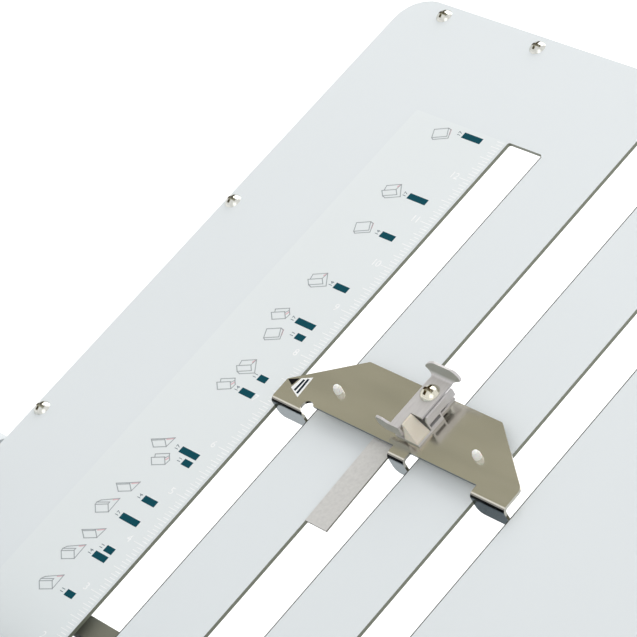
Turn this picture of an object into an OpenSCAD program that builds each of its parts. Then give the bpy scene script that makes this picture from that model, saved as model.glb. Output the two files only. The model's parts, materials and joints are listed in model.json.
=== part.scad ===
// Desk paper folding machine: friction feed, four folding rollers and two fold plates with paper stops.
// X runs across the paper, Y along its travel from the feed table to the fold plate, Z up.
// The origin is on the table top, under the middle of the machine.

/* [Fold plates] */
// Width of both fold plates across the paper
plate_w = 340.6; // [320:0.1:360]
// Rise of the upper fold plate above the level
plate_angle = 31.7; // [28:0.1:36]
// Far end of the upper fold plate, measured from the first roller nip
plate_end = 382.5; // [370:0.5:420]
// Near end of each fold plate, measured from its nip
plate_start = 18; // [17:0.5:24]
// Radius of the upper fold plate's far corners
plate_corner = 15; // [8:0.5:20]
// Thickness of the upper sheet
sheet_t = 1.8; // [1.5:0.1:3]
// Thickness of the lower sheet
under_t = 1.2; // [0.8:0.1:2]
// Gap between the two sheets, where the paper runs
channel = 3; // [2.4:0.1:4]
// Distance between neighbouring slots
slot_pitch = 55.9; // [52:0.1:60]
// Width of the two outer slots
slot_w = 19.3; // [18:0.1:22]
// Width of the middle slot
mid_slot_w = 23.2; // [22:0.1:26]
// Near end of the slots
slot_start = 40; // [34:0.5:46]
// Far end of the outer slots
slot_end = 328.5; // [324:0.5:345]
// Far end of the middle slot
mid_slot_end = 362; // [358:0.5:366]
// How much further the lower sheet is cut open round each slot
slot_relief = 6; // [5:0.5:8]
// Width of a side rail
rail_w = 7.8; // [7:0.1:9]
// Depth of a side rail below the paper
rail_depth = 14; // [10:0.5:18]
// Width of the ledge that carries the lower sheet
ledge_w = 6; // [4:0.5:8]
// Thickness of that ledge
ledge_t = 2; // [1.5:0.1:3]
// Width of the bar that closes the upper fold plate's far end
end_bar_w = 12; // [11:0.5:14]
// Depth of that bar below the paper
end_bar_depth = 8; // [6:0.5:10]
// Near edge of the cross bar under the slots
cross_bar_s = 60; // [58:0.5:62]
// Width of the cross bar
cross_bar_w = 9; // [7:0.5:10]
// Depth of the cross bar
cross_bar_h = 6; // [4:0.5:8]
// Radius of a plate screw's shank
screw_r = 2; // [1.5:0.1:2.2]
// Radius of a plate screw's pan head
screw_head_r = 3.9; // [3:0.1:4.2]
// Height of a plate screw's pan head
screw_head_h = 2.1; // [1.5:0.1:3]
// Length of a plate screw's shank
screw_len = 8; // [6:0.5:9]
// Distance of the end screws from the far edge
end_screw_inset = 5.9; // [5:0.1:6.5]
// Distance of the outermost end screws from the middle
end_screw_u = 147; // [130:0.5:150]
// Spacing of the two end screws on each side
end_screw_pitch = 56.5; // [50:0.5:58]
// Places of the side screws along the plate
side_screws = [35, 132.4, 254.6]; // [30:0.1:360]

/* [Second fold plate] */
// Fall of the second fold plate below the level
second_angle = 40; // [36:0.5:44]
// Far end of the second fold plate, from the second nip
second_end = 250; // [230:1:262]
// Depth of the second plate's side rails below the paper
second_depth = 9; // [7:0.5:11]
// Far end of the second plate's slots
second_slot_end = 232; // [215:1:236]
// Place of the second paper stop
second_stop_s = 170; // [150:1:180]
// Diameter of the second stop's clamping knob
second_knob_d = 24; // [18:0.5:28]
// Height of that knob
second_knob_h = 12; // [8:0.5:16]

/* [Paper stop] */
// Place of the paper stop, measured from the first nip
stop_s = 184.5; // [150:0.5:220]
// Thickness of the bent stop plate
stop_t = 1.2; // [1:0.1:1.5]
// Height of the stop plate's underside above the sheet
stop_lift = 3.9; // [3:0.1:5]
// Half length of the stop plate's far edge
stop_far_u = 36.6; // [32:0.1:40]
// Place of the stop plate's far edge
stop_far_v = 26.3; // [26:0.1:30]
// Place where the slanting ends begin
stop_slant_v = 5; // [3:0.1:8]
// Place of the near edge between the fingers
stop_near_v = -1.1; // [-2:0.1:0]
// Place of the fingers' front faces
finger_v = -6; // [-6.5:0.1:-5]
// Outer radius of the fingers' bend
bend_r = 2.3; // [1.6:0.1:2.4]
// Radius of the fingers' lower corners
finger_corner = 3; // [1:0.1:4]
// Reach of the fingers past the paper's channel
finger_past = 0.8; // [0.4:0.1:1]
// Side clearance of a finger in its slot
finger_play = 0.75; // [0.4:0.05:1]
// Radius of the relief hole beside the left finger
relief_r = 2.8; // [2:0.1:3.2]
// Distance of the glide studs from the middle
stud_u = 38.6; // [34:0.1:42]
// Place of the glide studs along the plate
stud_v = 9.2; // [7:0.1:12]
// Radius of a glide stud's foot
stud_foot_r = 4; // [3:0.1:5]
// Radius of a glide stud's head
stud_head_r = 1.7; // [1.6:0.1:3]
// Height of a glide stud's head
stud_head_h = 3.6; // [1:0.1:5]
// Width of the guide tongue
tongue_w = 12; // [10:0.1:12.2]
// Right edge of the guide tongue
tongue_u = 1.2; // [0.8:0.1:1.4]
// Reach of the guide tongue towards the rollers
tongue_reach = 43; // [30:0.5:44]
// Thickness of the guide tongue
tongue_t = 0.8; // [0.5:0.1:1]

/* [Stop clamp] */
// Width of the clamp bracket
clamp_w = 12.8; // [12:0.1:14]
// Near end of the clamp bracket
clamp_near = 2.6; // [2.2:0.1:3]
// Far end of the clamp bracket
clamp_far = 27; // [26.5:0.1:30]
// Sheet thickness of the bracket and the lever
clamp_t = 1; // [0.8:0.1:1.2]
// Height of the lever's top face above the stop plate
lever_top = 8.4; // [8:0.1:10]
// Width of the lever's narrow near part
lever_near_w = 4.65; // [4:0.05:6]
// Width of the finger lip at the lever's far end
lip_w = 19; // [16:0.5:22]
// Height of that lip above the lever
lip_h = 4.8; // [3:0.1:6]
// Reach of the wing at the lever's near end, to the left
wing_reach = 6.5; // [4:0.1:8]
// Height of that wing
wing_h = 6.5; // [5:0.1:7]
// Travel of the lever in degrees
lever_travel = 8; // [5:0.5:8]
// Place of the lever's pivot along the plate
pivot_v = 7.5; // [7:0.1:8]
// Height of the pivot above the stop plate
pivot_h = 4.4; // [4:0.1:5]
// Radius of the pivot pin
pivot_r = 1.5; // [1:0.1:1.6]
// Place of the clamp screw along the plate
clamp_screw_v = 21; // [20.5:0.1:21.5]
// Radius of the clamp screw's pan head
clamp_head_r = 4.25; // [4:0.05:4.6]
// Height of the clamp screw's pan head
clamp_head_h = 2.6; // [2:0.1:3]
// Wire diameter of the clamp spring
spring_wire = 0.9; // [0.7:0.05:1]
// Mean radius of the clamp spring
spring_r = 4; // [3.8:0.05:4.2]
// Turns of the clamp spring
spring_turns = 3.5; // [2.5:0.5:3.5]
// Half width of the slide shoe under the plate
shoe_half = 23.5; // [22:0.5:28]
// Thickness of the slide shoe's flange
shoe_t = 4; // [3:0.1:5]

/* [Rollers and gears] */
// Height of the first nip above the table top
nip_h = 240; // [236:1:270]
// Gear module
gear_mod = 1; // [0.9:0.05:1.1]
// Teeth of each folding roller's gear
roller_teeth = 32; // [30:1:35]
// Running gap between neighbouring rollers
roller_gap = 0.4; // [0.3:0.05:0.8]
// Length of the rubber on each roller
roller_len = 312; // [280:1:316]
// Diameter of the roller shafts
shaft_d = 10; // [8:0.5:11]
// Fall of the delivery path below the level
exit_angle = 20; // [18:0.5:22]
// Width of a gear
gear_w = 8; // [6:0.5:10]
// Teeth of the two idlers and the delivery gear
idler_teeth = 24; // [22:1:26]
// Teeth of the large drive gear
drive_teeth = 80; // [70:1:90]
// Teeth of the motor pinion
pinion_teeth = 14; // [12:1:18]
// Direction of the motor from the lowest roller
motor_dir = -72; // [-80:1:-66]
// Diameter of the motor
motor_d = 52; // [44:1:56]
// Length of the motor
motor_len = 90; // [60:1:110]
// Radius of the feed wheels
feed_r = 20; // [18:0.5:22]
// Width of a feed wheel
feed_wheel_w = 24; // [16:0.5:36]
// Spacing of the feed wheels
feed_wheel_pitch = 50; // [40:1:70]
// Distance of the feed shaft before the first nip
feed_y = 58; // [56:0.5:62]
// Radius of the delivery wheels
delivery_r = 12; // [10:0.5:13]
// Width of a delivery wheel
delivery_wheel_w = 20; // [12:0.5:30]
// Spacing of the delivery wheels
delivery_wheel_pitch = 80; // [60:1:90]
// Distance of the delivery shaft along the exit path
delivery_reach = 50; // [49:0.1:51]
// Outer radius of a bearing bush
bush_r = 8; // [7:0.5:9]
// Thickness and overhang of a bush's flange
bush_flange = 1.5; // [1:0.1:2]
// Radius of the studs that carry the idlers
stud_r = 3; // [2:0.1:4]
// Radius of the motor's nose in the frame
motor_nose_r = 6; // [5:0.1:8]

/* [Case] */
// Width over both side covers
case_w = 470; // [450:1:500]
// Wall of the covers
case_wall = 3; // [2:0.1:4]
// Thickness of a side frame
frame_t = 4; // [3:0.5:5]
// Room between the fold plate's edge and a side frame
frame_gap = 5; // [4:0.5:8]
// Feed side of the covers, before the first nip
cover_front = 135; // [128:1:145]
// Delivery side of the covers, past the first nip
cover_back = 120; // [114:1:124]
// Top of the covers above the nip
cover_top = 57; // [54:0.5:62]
// Far edge of the covers' top
cover_top_back = 106; // [98:0.5:110]
// Near edge of the covers' top
cover_top_front = 104; // [100:0.5:110]
// Height of the rubber feet
foot_h = 12; // [8:0.5:16]
// Radius of a rubber foot
foot_r = 15; // [10:0.5:18]
// Thickness of the base plate
base_t = 3; // [2:0.5:5]
// Radius of the tie bars
tie_r = 5; // [4:0.5:6]
// Near end of the hinged top cover
lid_front = 98; // [96:0.5:99]
// Far end of the hinged top cover
lid_back = 20; // [16:0.5:24]
// Slope of the hinged top cover's far face, measured along its foot
lid_slope = 22; // [14:0.5:24]
// Lower edge of the hinged top cover above the nip
lid_edge = 30; // [28:0.5:34]
// Radius of the hinged cover's pivots
lid_pin_r = 3; // [2:0.1:4]
// Opening angle of the hinged cover
lid_travel = 65; // [40:1:65]
// Diameter of the hand knob
knob_d = 38; // [30:0.5:42]
// Length of the hand knob
knob_w = 20; // [14:0.5:24]
// Distance of the rubber feet from the covers' ends
foot_inset = 30; // [20:1:40]
// Radius of a foot's stem in the base plate
foot_stem_r = 3; // [2:0.1:4]

/* [Feed and delivery] */
// Far end of the feed table, before the first nip
table_end = 400; // [380:1:430]
// Near end of the feed table
table_near = 34; // [32:0.5:36]
// Thickness of the feed table
table_t = 3; // [2:0.1:4]
// Drop of the feed table's top below the nip
table_drop = 14; // [13:0.5:16]
// Depth of the feed table's side flanges
table_flange = 24; // [18:0.5:30]
// Distance between the side guides at rest
guide_gap = 216; // [200:1:230]
// Length of a side guide
guide_len = 210; // [150:1:230]
// Height of a side guide
guide_h = 26; // [18:0.5:34]
// Thickness of a side guide
guide_t = 2; // [1.5:0.1:3]
// Width of a side guide's flat foot
guide_foot = 28; // [20:0.5:32]
// Place of the guides' pinion before the first nip
guide_y = 225; // [215:1:235]
// Teeth of the guides' pinion
guide_teeth = 20; // [16:4:24]
// Thickness of the separator pad
pad_t = 3; // [2:0.1:4]
// Width of the separator pad
pad_w = 60; // [40:1:80]
// Length of the separator pad
pad_len = 24; // [16:0.5:30]
// Length of the delivery tray
tray_len = 240; // [200:1:250]
// Inner end of the delivery tray, past the first nip
tray_y = 72; // [70:0.5:80]
// Height of the delivery tray's floor
tray_z = 62; // [55:0.5:70]
// Height of the delivery tray's walls
tray_wall_h = 24; // [15:0.5:30]
// Thickness of the delivery tray
tray_t = 3; // [2:0.1:4]
// Place of the delivery stop, past the first nip
tray_stop_y = 235; // [230:1:240]
// Width of the delivery stop
tray_stop_w = 120; // [80:1:160]
// Height of the delivery stop above the tray
tray_stop_h = 34; // [24:0.5:40]

/* [Controls] */
// Radius of a push button
button_r = 9; // [7:0.5:11]
// Height of a push button above the cover
button_h = 3.2; // [2.5:0.1:5]
// Travel of a push button
button_travel = 2.5; // [1.5:0.1:2.5]
// Spacing of the push buttons
button_pitch = 34; // [28:0.5:40]
// Place of the start button past the first nip
button_y = 10; // [0:0.5:20]
// Drop of the power switch below the nip
switch_drop = 60; // [50:0.5:70]
// Height of the power inlet above the table top
inlet_z = 60; // [50:0.5:80]
// Width of the power switch's opening
switch_w = 20; // [16:0.5:24]
// Height of the power switch's opening
switch_h = 30; // [24:0.5:32]
// Width of the power inlet
inlet_w = 20; // [18:0.5:24]
// Height of the power inlet
inlet_h = 27; // [24:0.5:30]
// Wall of the power inlet round its socket
inlet_wall = 2.5; // [2:0.1:3]
// Depth of the power inlet's socket
inlet_depth = 18; // [14:0.5:22]

/* [Hidden] */
$fn = 48;

// Clearances: pressed parts, running shafts, parts that slide or stand side by side
press_gap = 0.02;
run_gap = 0.05;
slide_gap = 0.3;
// Steps of a rounded corner
corner_steps = 6;
// Gear teeth: tip and root from the pitch line, and half widths there
tooth_tip = 0.9 * gear_mod;
tooth_root = 1.2 * gear_mod;
tip_half = 0.33 * gear_mod;
root_half = 1.05 * gear_mod;

// Roller axes, in the Y-Z plane from the first nip; each neighbour pair stands one pitch circle apart
axis_d = gear_mod * roller_teeth;
roller_r = axis_d / 2 - roller_gap / 2;
axis_1 = axis_d / 2 * [-sin(plate_angle), cos(plate_angle)];
axis_2 = -axis_1;
axis_3 = axis_2 + axis_d * [sin(second_angle), -cos(second_angle)];
axis_4 = axis_3 - axis_d * [sin(exit_angle), cos(exit_angle)];
second_nip = (axis_2 + axis_3) / 2;
exit_nip = (axis_3 + axis_4) / 2;
shaft_r = shaft_d / 2;

// The feed wheels stand just over the separator pad
feed_axis = [-feed_y, feed_r + slide_gap + pad_t - table_drop];
// The delivery wheels touch the exit path from below
delivery_axis = exit_nip + delivery_reach * [cos(exit_angle), -sin(exit_angle)]
    - (delivery_r + slide_gap) * [sin(exit_angle), cos(exit_angle)];
idler_r = gear_mod * idler_teeth / 2;
feed_idler_axis = between(axis_1, feed_axis, axis_d / 2 + idler_r, axis_d / 2 + idler_r);
delivery_idler_axis = between(axis_4, delivery_axis, axis_d / 2 + idler_r, idler_r * 2);
motor_axis = axis_4 + gear_mod * (drive_teeth + pinion_teeth) / 2 * [cos(motor_dir), sin(motor_dir)];

// Turn of each gear at rest, so that a tooth of one stands in a gap of the next
turn_4 = 0;
turn_3 = mesh(turn_4, roller_teeth, axis_4, axis_3, roller_teeth);
turn_2 = mesh(turn_3, roller_teeth, axis_3, axis_2, roller_teeth);
turn_1 = mesh(turn_2, roller_teeth, axis_2, axis_1, roller_teeth);
turn_feed_idler = mesh(turn_1, roller_teeth, axis_1, feed_idler_axis, idler_teeth);
turn_feed = mesh(turn_feed_idler, idler_teeth, feed_idler_axis, feed_axis, roller_teeth);
turn_delivery_idler = mesh(turn_4, roller_teeth, axis_4, delivery_idler_axis, idler_teeth);
turn_delivery = mesh(turn_delivery_idler, idler_teeth, delivery_idler_axis, delivery_axis, idler_teeth);
turn_pinion = mesh(turn_4, drive_teeth, axis_4, motor_axis, pinion_teeth);

// Places across the machine
frame_in = plate_w / 2 + frame_gap;
frame_out = frame_in + frame_t;
gear_room = 2;
gear_x = frame_out + gear_room;
gear_end = gear_x + gear_w + 1;
drive_x = gear_x + gear_w + gear_room;
case_x = case_w / 2;
rubber_x = roller_len / 2;
// Shafts step up by this much inside the frames, and stop this far short of them
shoulder = 1.5;
shoulder_gap = 2;
feed_wheels = [for (i = [-1.5 : 1.5]) i * feed_wheel_pitch];
delivery_wheels = [for (i = [-1.5 : 1.5]) i * delivery_wheel_pitch];
foot_places = [for (x = [-1, 1], y = [-cover_front + foot_inset, cover_back - foot_inset])
    [x * (frame_in - foot_inset + 5), y]];

// Knobs: depth of the shaft's seat, grip grooves and their radius
knob_seat = 8;
grips = [0 : 30 : 330];
grip_r = 2.4;

// Levels in the fold plates, measured square to the paper
top_n = channel / 2 + sheet_t;
under_n = -channel / 2 - under_t;
rail_in = plate_w / 2 - rail_w;
rail_mid = plate_w / 2 - rail_w / 2;
rail_start = plate_start + 4;
rail_end = plate_end - plate_corner;
second_corner = plate_corner / 2;
second_rail_end = second_end - second_corner;
end_screw_s = plate_end - end_screw_inset;
end_screw_us = [for (i = [0 : 1], side = [-1, 1]) side * (end_screw_u - i * end_screw_pitch)];
screw_places = concat([for (u = end_screw_us) [u, end_screw_s]],
    [for (side = [-1, 1], s = side_screws) [side * rail_mid, s]]);

// The machine's reach along Y, which the origin halves
reach_back = plate_end * cos(plate_angle) + end_bar_depth * sin(plate_angle);
y_mid = (reach_back - table_end) / 2;

// Heights of the case
base_top = foot_h + base_t;
base_inset = 4;
table_z = nip_h - table_drop;
cover_z = nip_h + cover_top;
lid_rounds = [0, 0, 8, 8, 6];
lid_pivot_inset = 8;
lid_pivot_drop = 11;
lid_axis = [-(lid_front - lid_pivot_inset), cover_top - lid_pivot_drop];
cover_outline = [[-cover_front, foot_h], [cover_back, foot_h], [cover_back, nip_h + 10],
    [cover_top_back, cover_z], [-cover_top_front, cover_z], [-cover_front, nip_h + 15]];
cover_rounds = [4, 4, 12, 8, 14, 14];
frame_inset = case_wall / 2;
// Tie bars, in the Y-Z plane from the table top
tie_bars = [[-112, 40], [102, tray_z - tray_t - tie_r - slide_gap],
    [-118, table_z - table_flange - tie_r - slide_gap]];
tie_end_r = tie_r * 0.6;
// Resting pins of the upper and the second fold plate, as [along, below]
pin_r = 3;
rest_pins = [for (s = [42, 92]) [s, -rail_depth - pin_r - run_gap]];
second_pins = [for (s = [50, 130]) [s, -second_depth - pin_r - run_gap]];
pin_reach = frame_gap + rail_w - 2;

// Places of the controls on the right cover
control_x = (frame_out + case_x) / 2;
switch_z = nip_h - switch_drop;
button_flange = 2;
switch_pin_r = 1.5;
switch_pin_reach = 2;
switch_pivot = case_wall + slide_gap + switch_pin_r;

// Paper stop, measured from the sheet's top at the stop's place
leg_in = slot_pitch - slot_w / 2 + finger_play;
leg_out = slot_pitch + slot_w / 2 - finger_play;
mid_finger = [tongue_u + finger_play, mid_slot_w / 2 - finger_play];
finger_drop = sheet_t + channel + finger_past;
relief_at = [relief_r / 5 - leg_in, stop_near_v - relief_r / 2];
rivet_r = 1.5;
foot_clear = 0.1;
stop_top = stop_lift + stop_t;
base_h = stop_top + clamp_t;
lever_h = stop_top + lever_top;
lever_under = lever_h - clamp_t;
flange_gap = slide_gap / 2;
ear_r = 2.7;
lever_u = clamp_t + flange_gap;
screw_u = clamp_w / 2;
screw_hole_r = screw_r + 0.1;
wall_v = pivot_v + ear_r + slide_gap;
wall_foot_v = 17.8;
wall_low = base_h + 2.9;
window_v = [11.2, 17];
window_h = [base_h + 0.9, base_h + 2.6];
lip_r = 2.4;
wing_v = pivot_v - 4.3;
cheek_u = lever_u + lever_near_w + flange_gap;
cheek_v = [clamp_near, pivot_v + ear_r - slide_gap];
shoe_top = -(sheet_t + channel + under_t) - slide_gap;
neck_v = [14.5, 25.5];
shoe_near = 6;

// Clamp spring: an unbroken wire round the clamp screw, from the bracket's base to the lever
spring_low = base_h + run_gap + spring_wire / 2;
spring_rise = lever_under - base_h - 2 * run_gap - spring_wire;
spring_step = 8;
spring_sides = 6;
spring_rings = spring_step * spring_turns;
coil = [for (i = [0 : spring_rings]) let (a = 360 * i / spring_step)
    [spring_r * cos(a), spring_r * sin(a), spring_low + spring_rise * i / spring_rings]];
spring_gaps = [for (i = [0 : spring_rings - spring_step], j = [i + spring_step / 2 + 1 : spring_rings])
    norm(coil[i] - coil[j]) - spring_wire];
echo(clamp_spring_gap = min(spring_gaps));

// Feed guides: pinion and racks under the feed table
guide_r = gear_mod * guide_teeth / 2;
rack_z = table_z - table_t - 2;
rack_h = 5;
rack_back = 9;
rack_reach = 60;
guide_stud_r = 4;
guide_stem = [guide_t * 3, 5.5];
guide_foot_inset = 20;
stem_y = guide_r + tooth_root + 1;
guide_travel = [-40, 50];
tooth_pitch = PI * gear_mod;

// Delivery tray and its stop
tray_half = frame_in - 2;
tray_low = tray_z - tray_t;
tray_slot = 12;
tray_slot_near = cover_back + 30;
tray_slot_rest = 20;
tray_end = tray_y + tray_len;
tray_leg_back = 14;
stop_sheet = 3;
stop_foot = [40, 28];
stop_key = [tray_slot - 1, 4, 26];
stop_nut = 20;

function unit(v) = v / norm(v);
function dir(a) = [cos(a), sin(a)];
function angle_of(v) = atan2(v[1], v[0]);
function lift(p) = [p[0], nip_h + p[1]];

// The point at distance ra from a and rb from b, on the upper side of the line
function between(a, b, ra, rb) =
    let (d = norm(b - a), e = (b - a) / d, along = (ra * ra - rb * rb + d * d) / (2 * d),
        up = sqrt(ra * ra - along * along), side = e[0] > 0 ? 1 : -1)
    a + along * e + up * side * [-e[1], e[0]];

// Turn of the follower gear at b that meshes with the gear at a
function mesh(turn, teeth, a, b, follower_teeth) =
    let (line = angle_of(b - a), off = (turn - line) * teeth / follower_teeth)
    line + 180 - off + 180 / follower_teeth;

// A corner at p between a and b, rounded by an arc of radius r
function corner(a, p, b, r) =
    r <= 0 ? [p] :
    let (u = unit(a - p), w = unit(b - p), half = acos(u * w) / 2, c = p + unit(u + w) * r / sin(half),
        t0 = p + u * r / tan(half), t1 = p + w * r / tan(half),
        a0 = angle_of(t0 - c), raw = angle_of(t1 - c) - a0,
        sweep = raw > 180 ? raw - 360 : raw < -180 ? raw + 360 : raw)
    [for (i = [0 : corner_steps]) c + r * dir(a0 + sweep * i / corner_steps)];

// An outline with a rounding radius at each corner
function rounded(pts, radii) =
    let (n = len(pts))
    [for (i = [0 : n - 1]) each corner(pts[(i + n - 1) % n], pts[i], pts[(i + 1) % n], radii[i])];

// A counter-clockwise outline moved inwards by d
function inset(pts, d) =
    let (n = len(pts))
    [for (i = [0 : n - 1])
        let (e = unit(pts[i] - pts[(i + n - 1) % n]), f = unit(pts[(i + 1) % n] - pts[i]),
            ne = [-e[1], e[0]], nf = [-f[1], f[0]])
        pts[i] + d * (ne + nf) / (1 + ne * nf)];

function shrink(radii, d) = [for (r = radii) max(0, r - d)];

// Gear outline: straight-flanked teeth with a little backlash
function gear_outline(teeth, turn) =
    let (rp = gear_mod * teeth / 2, ra = rp + tooth_tip, rd = rp - tooth_root,
        tip = tip_half / ra * 180 / PI, root = root_half / rd * 180 / PI)
    [for (i = [0 : teeth - 1]) let (a = turn + i * 360 / teeth)
        each [rd * dir(a - root), ra * dir(a - tip), ra * dir(a + tip), rd * dir(a + root)]];

// Frames that the pieces are built in
module place() translate([0, -y_mid, 0]) children();
module on_plate() place() translate([0, 0, nip_h]) rotate([plate_angle, 0, 0]) children();
module on_second()
    place() translate([0, second_nip[0], nip_h + second_nip[1]])
        rotate([180 + second_angle, 0, 0]) rotate([0, 180, 0]) children();
module on_stop() on_plate() translate([0, stop_s, top_n]) children();
module on_second_stop() on_second() translate([0, second_stop_s, top_n]) children();

// A Y-Z outline carried along X
module along_x(x0, x1) translate([x0, 0, 0]) rotate([90, 0, 90]) linear_extrude(x1 - x0) children();
// An X-Z outline carried along Y
module along_y(y0, y1) translate([0, y1, 0]) rotate([90, 0, 0]) linear_extrude(y1 - y0) children();
module rod(p, x0, x1, r) translate([x0, p[0], p[1]]) rotate([0, 90, 0]) cylinder(h = x1 - x0, r = r);
module block(low, high) translate(low) cube(high - low);

// Pan-head screw along -Z, its head standing on z 0, with a cross recess
module pan_screw(head_r, head_h, r, length) {
    recess = head_r * 0.6;
    recess_w = head_r * 0.32;
    difference() {
        union() {
            rotate_extrude() intersection() {
                square([head_r, head_h]);
                translate([0, -head_r * 1.1 + head_h]) circle(head_r * 1.1 + 0.001, $fn = 96);
                polygon([[0, 0], [head_r, 0], [head_r, head_h * 0.45], [head_r * 0.8, head_h], [0, head_h]]);
            }
            translate([0, 0, -length]) cylinder(h = length + 0.01, r = r);
        }
        for (turn = [0, 90]) rotate(turn)
            translate([-recess, -recess_w / 2, head_h * 0.45]) cube([recess * 2, recess_w, head_h]);
    }
}

// Spur gear on the shaft at p, from x0, with a bore
module gear(p, x0, teeth, turn, bore) {
    translate([0, p[0], nip_h + p[1]]) along_x(x0, x0 + gear_w) difference() {
        polygon(gear_outline(teeth, turn));
        circle(bore);
    }
}

// Slots of a sheet, widened all round
module slots(start, end, mid_end, widen) {
    for (k = [-1 : 1]) {
        w = (k == 0 ? mid_slot_w : slot_w) + 2 * widen;
        s1 = (k == 0 ? mid_end : end) + widen;
        polygon(rounded([[k * slot_pitch - w / 2, start - widen], [k * slot_pitch + w / 2, start - widen],
            [k * slot_pitch + w / 2, s1], [k * slot_pitch - w / 2, s1]], [1, 1, 1, 1]));
    }
}

// Outline of a plate's sheet, with near corners of radius 2 and far corners of radius r
module sheet_blank(half, s0, s1, r)
    polygon(rounded([[-half, s0], [half, s0], [half, s1], [-half, s1]], [2, 2, r, r]));

// One rail of a fold plate with its ledge, on the +X side
module rail(s0, s1, depth, screws) {
    difference() {
        along_y(s0, s1) polygon([[rail_in, channel / 2], [rail_in, under_n], [rail_in - ledge_w, under_n],
            [rail_in - ledge_w, under_n - ledge_t], [rail_in, under_n - ledge_t], [rail_in, -depth],
            [plate_w / 2, -depth], [plate_w / 2, channel / 2]]);
        for (s = screws) translate([rail_mid, s, -depth - 1])
            cylinder(h = depth + channel, r = screw_r + press_gap);
    }
}

// A bent finger of the paper stop, carried from u0 to u1, with its lower corners rounded
module finger(u0, u1) intersection() {
    along_x(u0, u1) polygon(rounded([[stop_near_v, stop_lift], [stop_near_v, stop_top], [finger_v, stop_top],
        [finger_v, -finger_drop], [finger_v + stop_t, -finger_drop], [finger_v + stop_t, stop_lift]],
        [0, 0, bend_r, 0, 0, bend_r - stop_t]));
    along_y(finger_v - 1, stop_near_v + 1) polygon(rounded([[u0, -finger_drop], [u1, -finger_drop],
        [u1, stop_top], [u0, stop_top]], [finger_corner, finger_corner, 0, 0]));
}

// Outline of the paper stop's flat part
module stop_outline()
    polygon(rounded([[-leg_out, stop_near_v], [leg_out, stop_near_v], [leg_out, stop_slant_v],
        [stop_far_u, stop_far_v], [-stop_far_u, stop_far_v], [-leg_out, stop_slant_v]], [0, 0, 4, 2, 2, 1]));

// Base, feet and frame

module base_plate() color("#C9CDCE") place() difference() {
    block([-frame_out, -cover_front + base_inset, foot_h], [frame_out, cover_back - base_inset, base_top]);
    for (p = foot_places) translate([p[0], p[1], foot_h - 1])
        cylinder(h = base_t + 2, r = foot_stem_r + press_gap);
}

module rubber_feet() color("#26282A") place()
    for (p = foot_places) translate([p[0], p[1], 0]) rotate_extrude()
        polygon([[0, 0], [foot_r - 2, 0], [foot_r, 2], [foot_r - 1.5, foot_h], [foot_stem_r, foot_h],
            [foot_stem_r, base_top], [0, base_top]]);

// Side frame between x0 and x1, with the bores for bushes, rods and pivots
module side_frame(x0, x1) place() difference() {
    along_x(x0, x1) intersection() {
        polygon(rounded(inset(cover_outline, frame_inset), shrink(cover_rounds, frame_inset)));
        translate([-cover_front, base_top]) square([cover_front + cover_back, cover_z]);
    }
    for (p = [axis_1, axis_2, axis_3, axis_4, feed_axis, delivery_axis])
        rod(lift(p), x0 - 1, x1 + 1, bush_r + press_gap);
    for (p = tie_bars) rod(p, x0 - 1, x1 + 1, tie_end_r + press_gap);
    rod(lift(lid_axis), x0 - 1, x1 + 1, lid_pin_r + run_gap);
    translate([0, 0, nip_h]) rotate([plate_angle, 0, 0])
        for (p = rest_pins) rod(p, x0 - 1, x1 + 1, pin_r + press_gap);
    translate([0, second_nip[0], nip_h + second_nip[1]])
        rotate([180 + second_angle, 0, 0]) rotate([0, 180, 0])
        for (p = second_pins) rod(p, min(-x0, -x1) - 1, max(-x0, -x1) + 1, pin_r + press_gap);
}

module frame_left() color("#B9BEC0") side_frame(-frame_out, -frame_in);

module frame_right() color("#B9BEC0") difference() {
    side_frame(frame_in, frame_out);
    place() {
        rod(lift(motor_axis), frame_in - 1, frame_out + 1, motor_nose_r);
        for (p = [feed_idler_axis, delivery_idler_axis])
            rod(lift(p), frame_in - 1, frame_out + 1, stud_r + press_gap);
    }
}

// Pins in both side frames that a fold plate's rails rest on
module plate_pins(places) for (side = [0, 1], p = places)
    mirror([side, 0, 0]) rod(p, frame_in - pin_reach, frame_out, pin_r);

module frame_rods() color("#D2D4D3") {
    place() {
        for (p = tie_bars) {
            rod(p, -frame_in, frame_in, tie_r);
            rod(p, -frame_out, frame_out, tie_end_r);
        }
        for (p = [feed_idler_axis, delivery_idler_axis]) rod(lift(p), frame_in, gear_end, stud_r);
    }
    on_plate() plate_pins(rest_pins);
    on_second() plate_pins(second_pins);
}

// Side cover as a shell, open towards the frame, between the frame and the case's outer face
module cover_shell() difference() {
    along_x(frame_out, case_x) polygon(rounded(cover_outline, cover_rounds));
    along_x(frame_out - 1, case_x - case_wall)
        polygon(rounded(inset(cover_outline, case_wall), shrink(cover_rounds, case_wall)));
}

module cover_left() color("#DDE2E4") place() difference() {
    mirror([1, 0, 0]) cover_shell();
    rod(lift(axis_2), -case_x - 1, -frame_out, knob_d / 2 + 2);
}

module cover_right() color("#DDE2E4") place() difference() {
    cover_shell();
    for (y = [button_y, button_y - button_pitch])
        translate([control_x, y, cover_z - case_wall - 1])
            cylinder(h = case_wall + 2, r = button_r + slide_gap);
    block([control_x - switch_w / 2, -cover_front - 1, switch_z - switch_h / 2],
        [control_x + switch_w / 2, -cover_front + case_wall + 1, switch_z + switch_h / 2]);
    block([control_x - inlet_w / 2, -cover_front - 1, inlet_z - inlet_h / 2],
        [control_x + inlet_w / 2, -cover_front + case_wall + 1, inlet_z + inlet_h / 2]);
}

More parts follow.
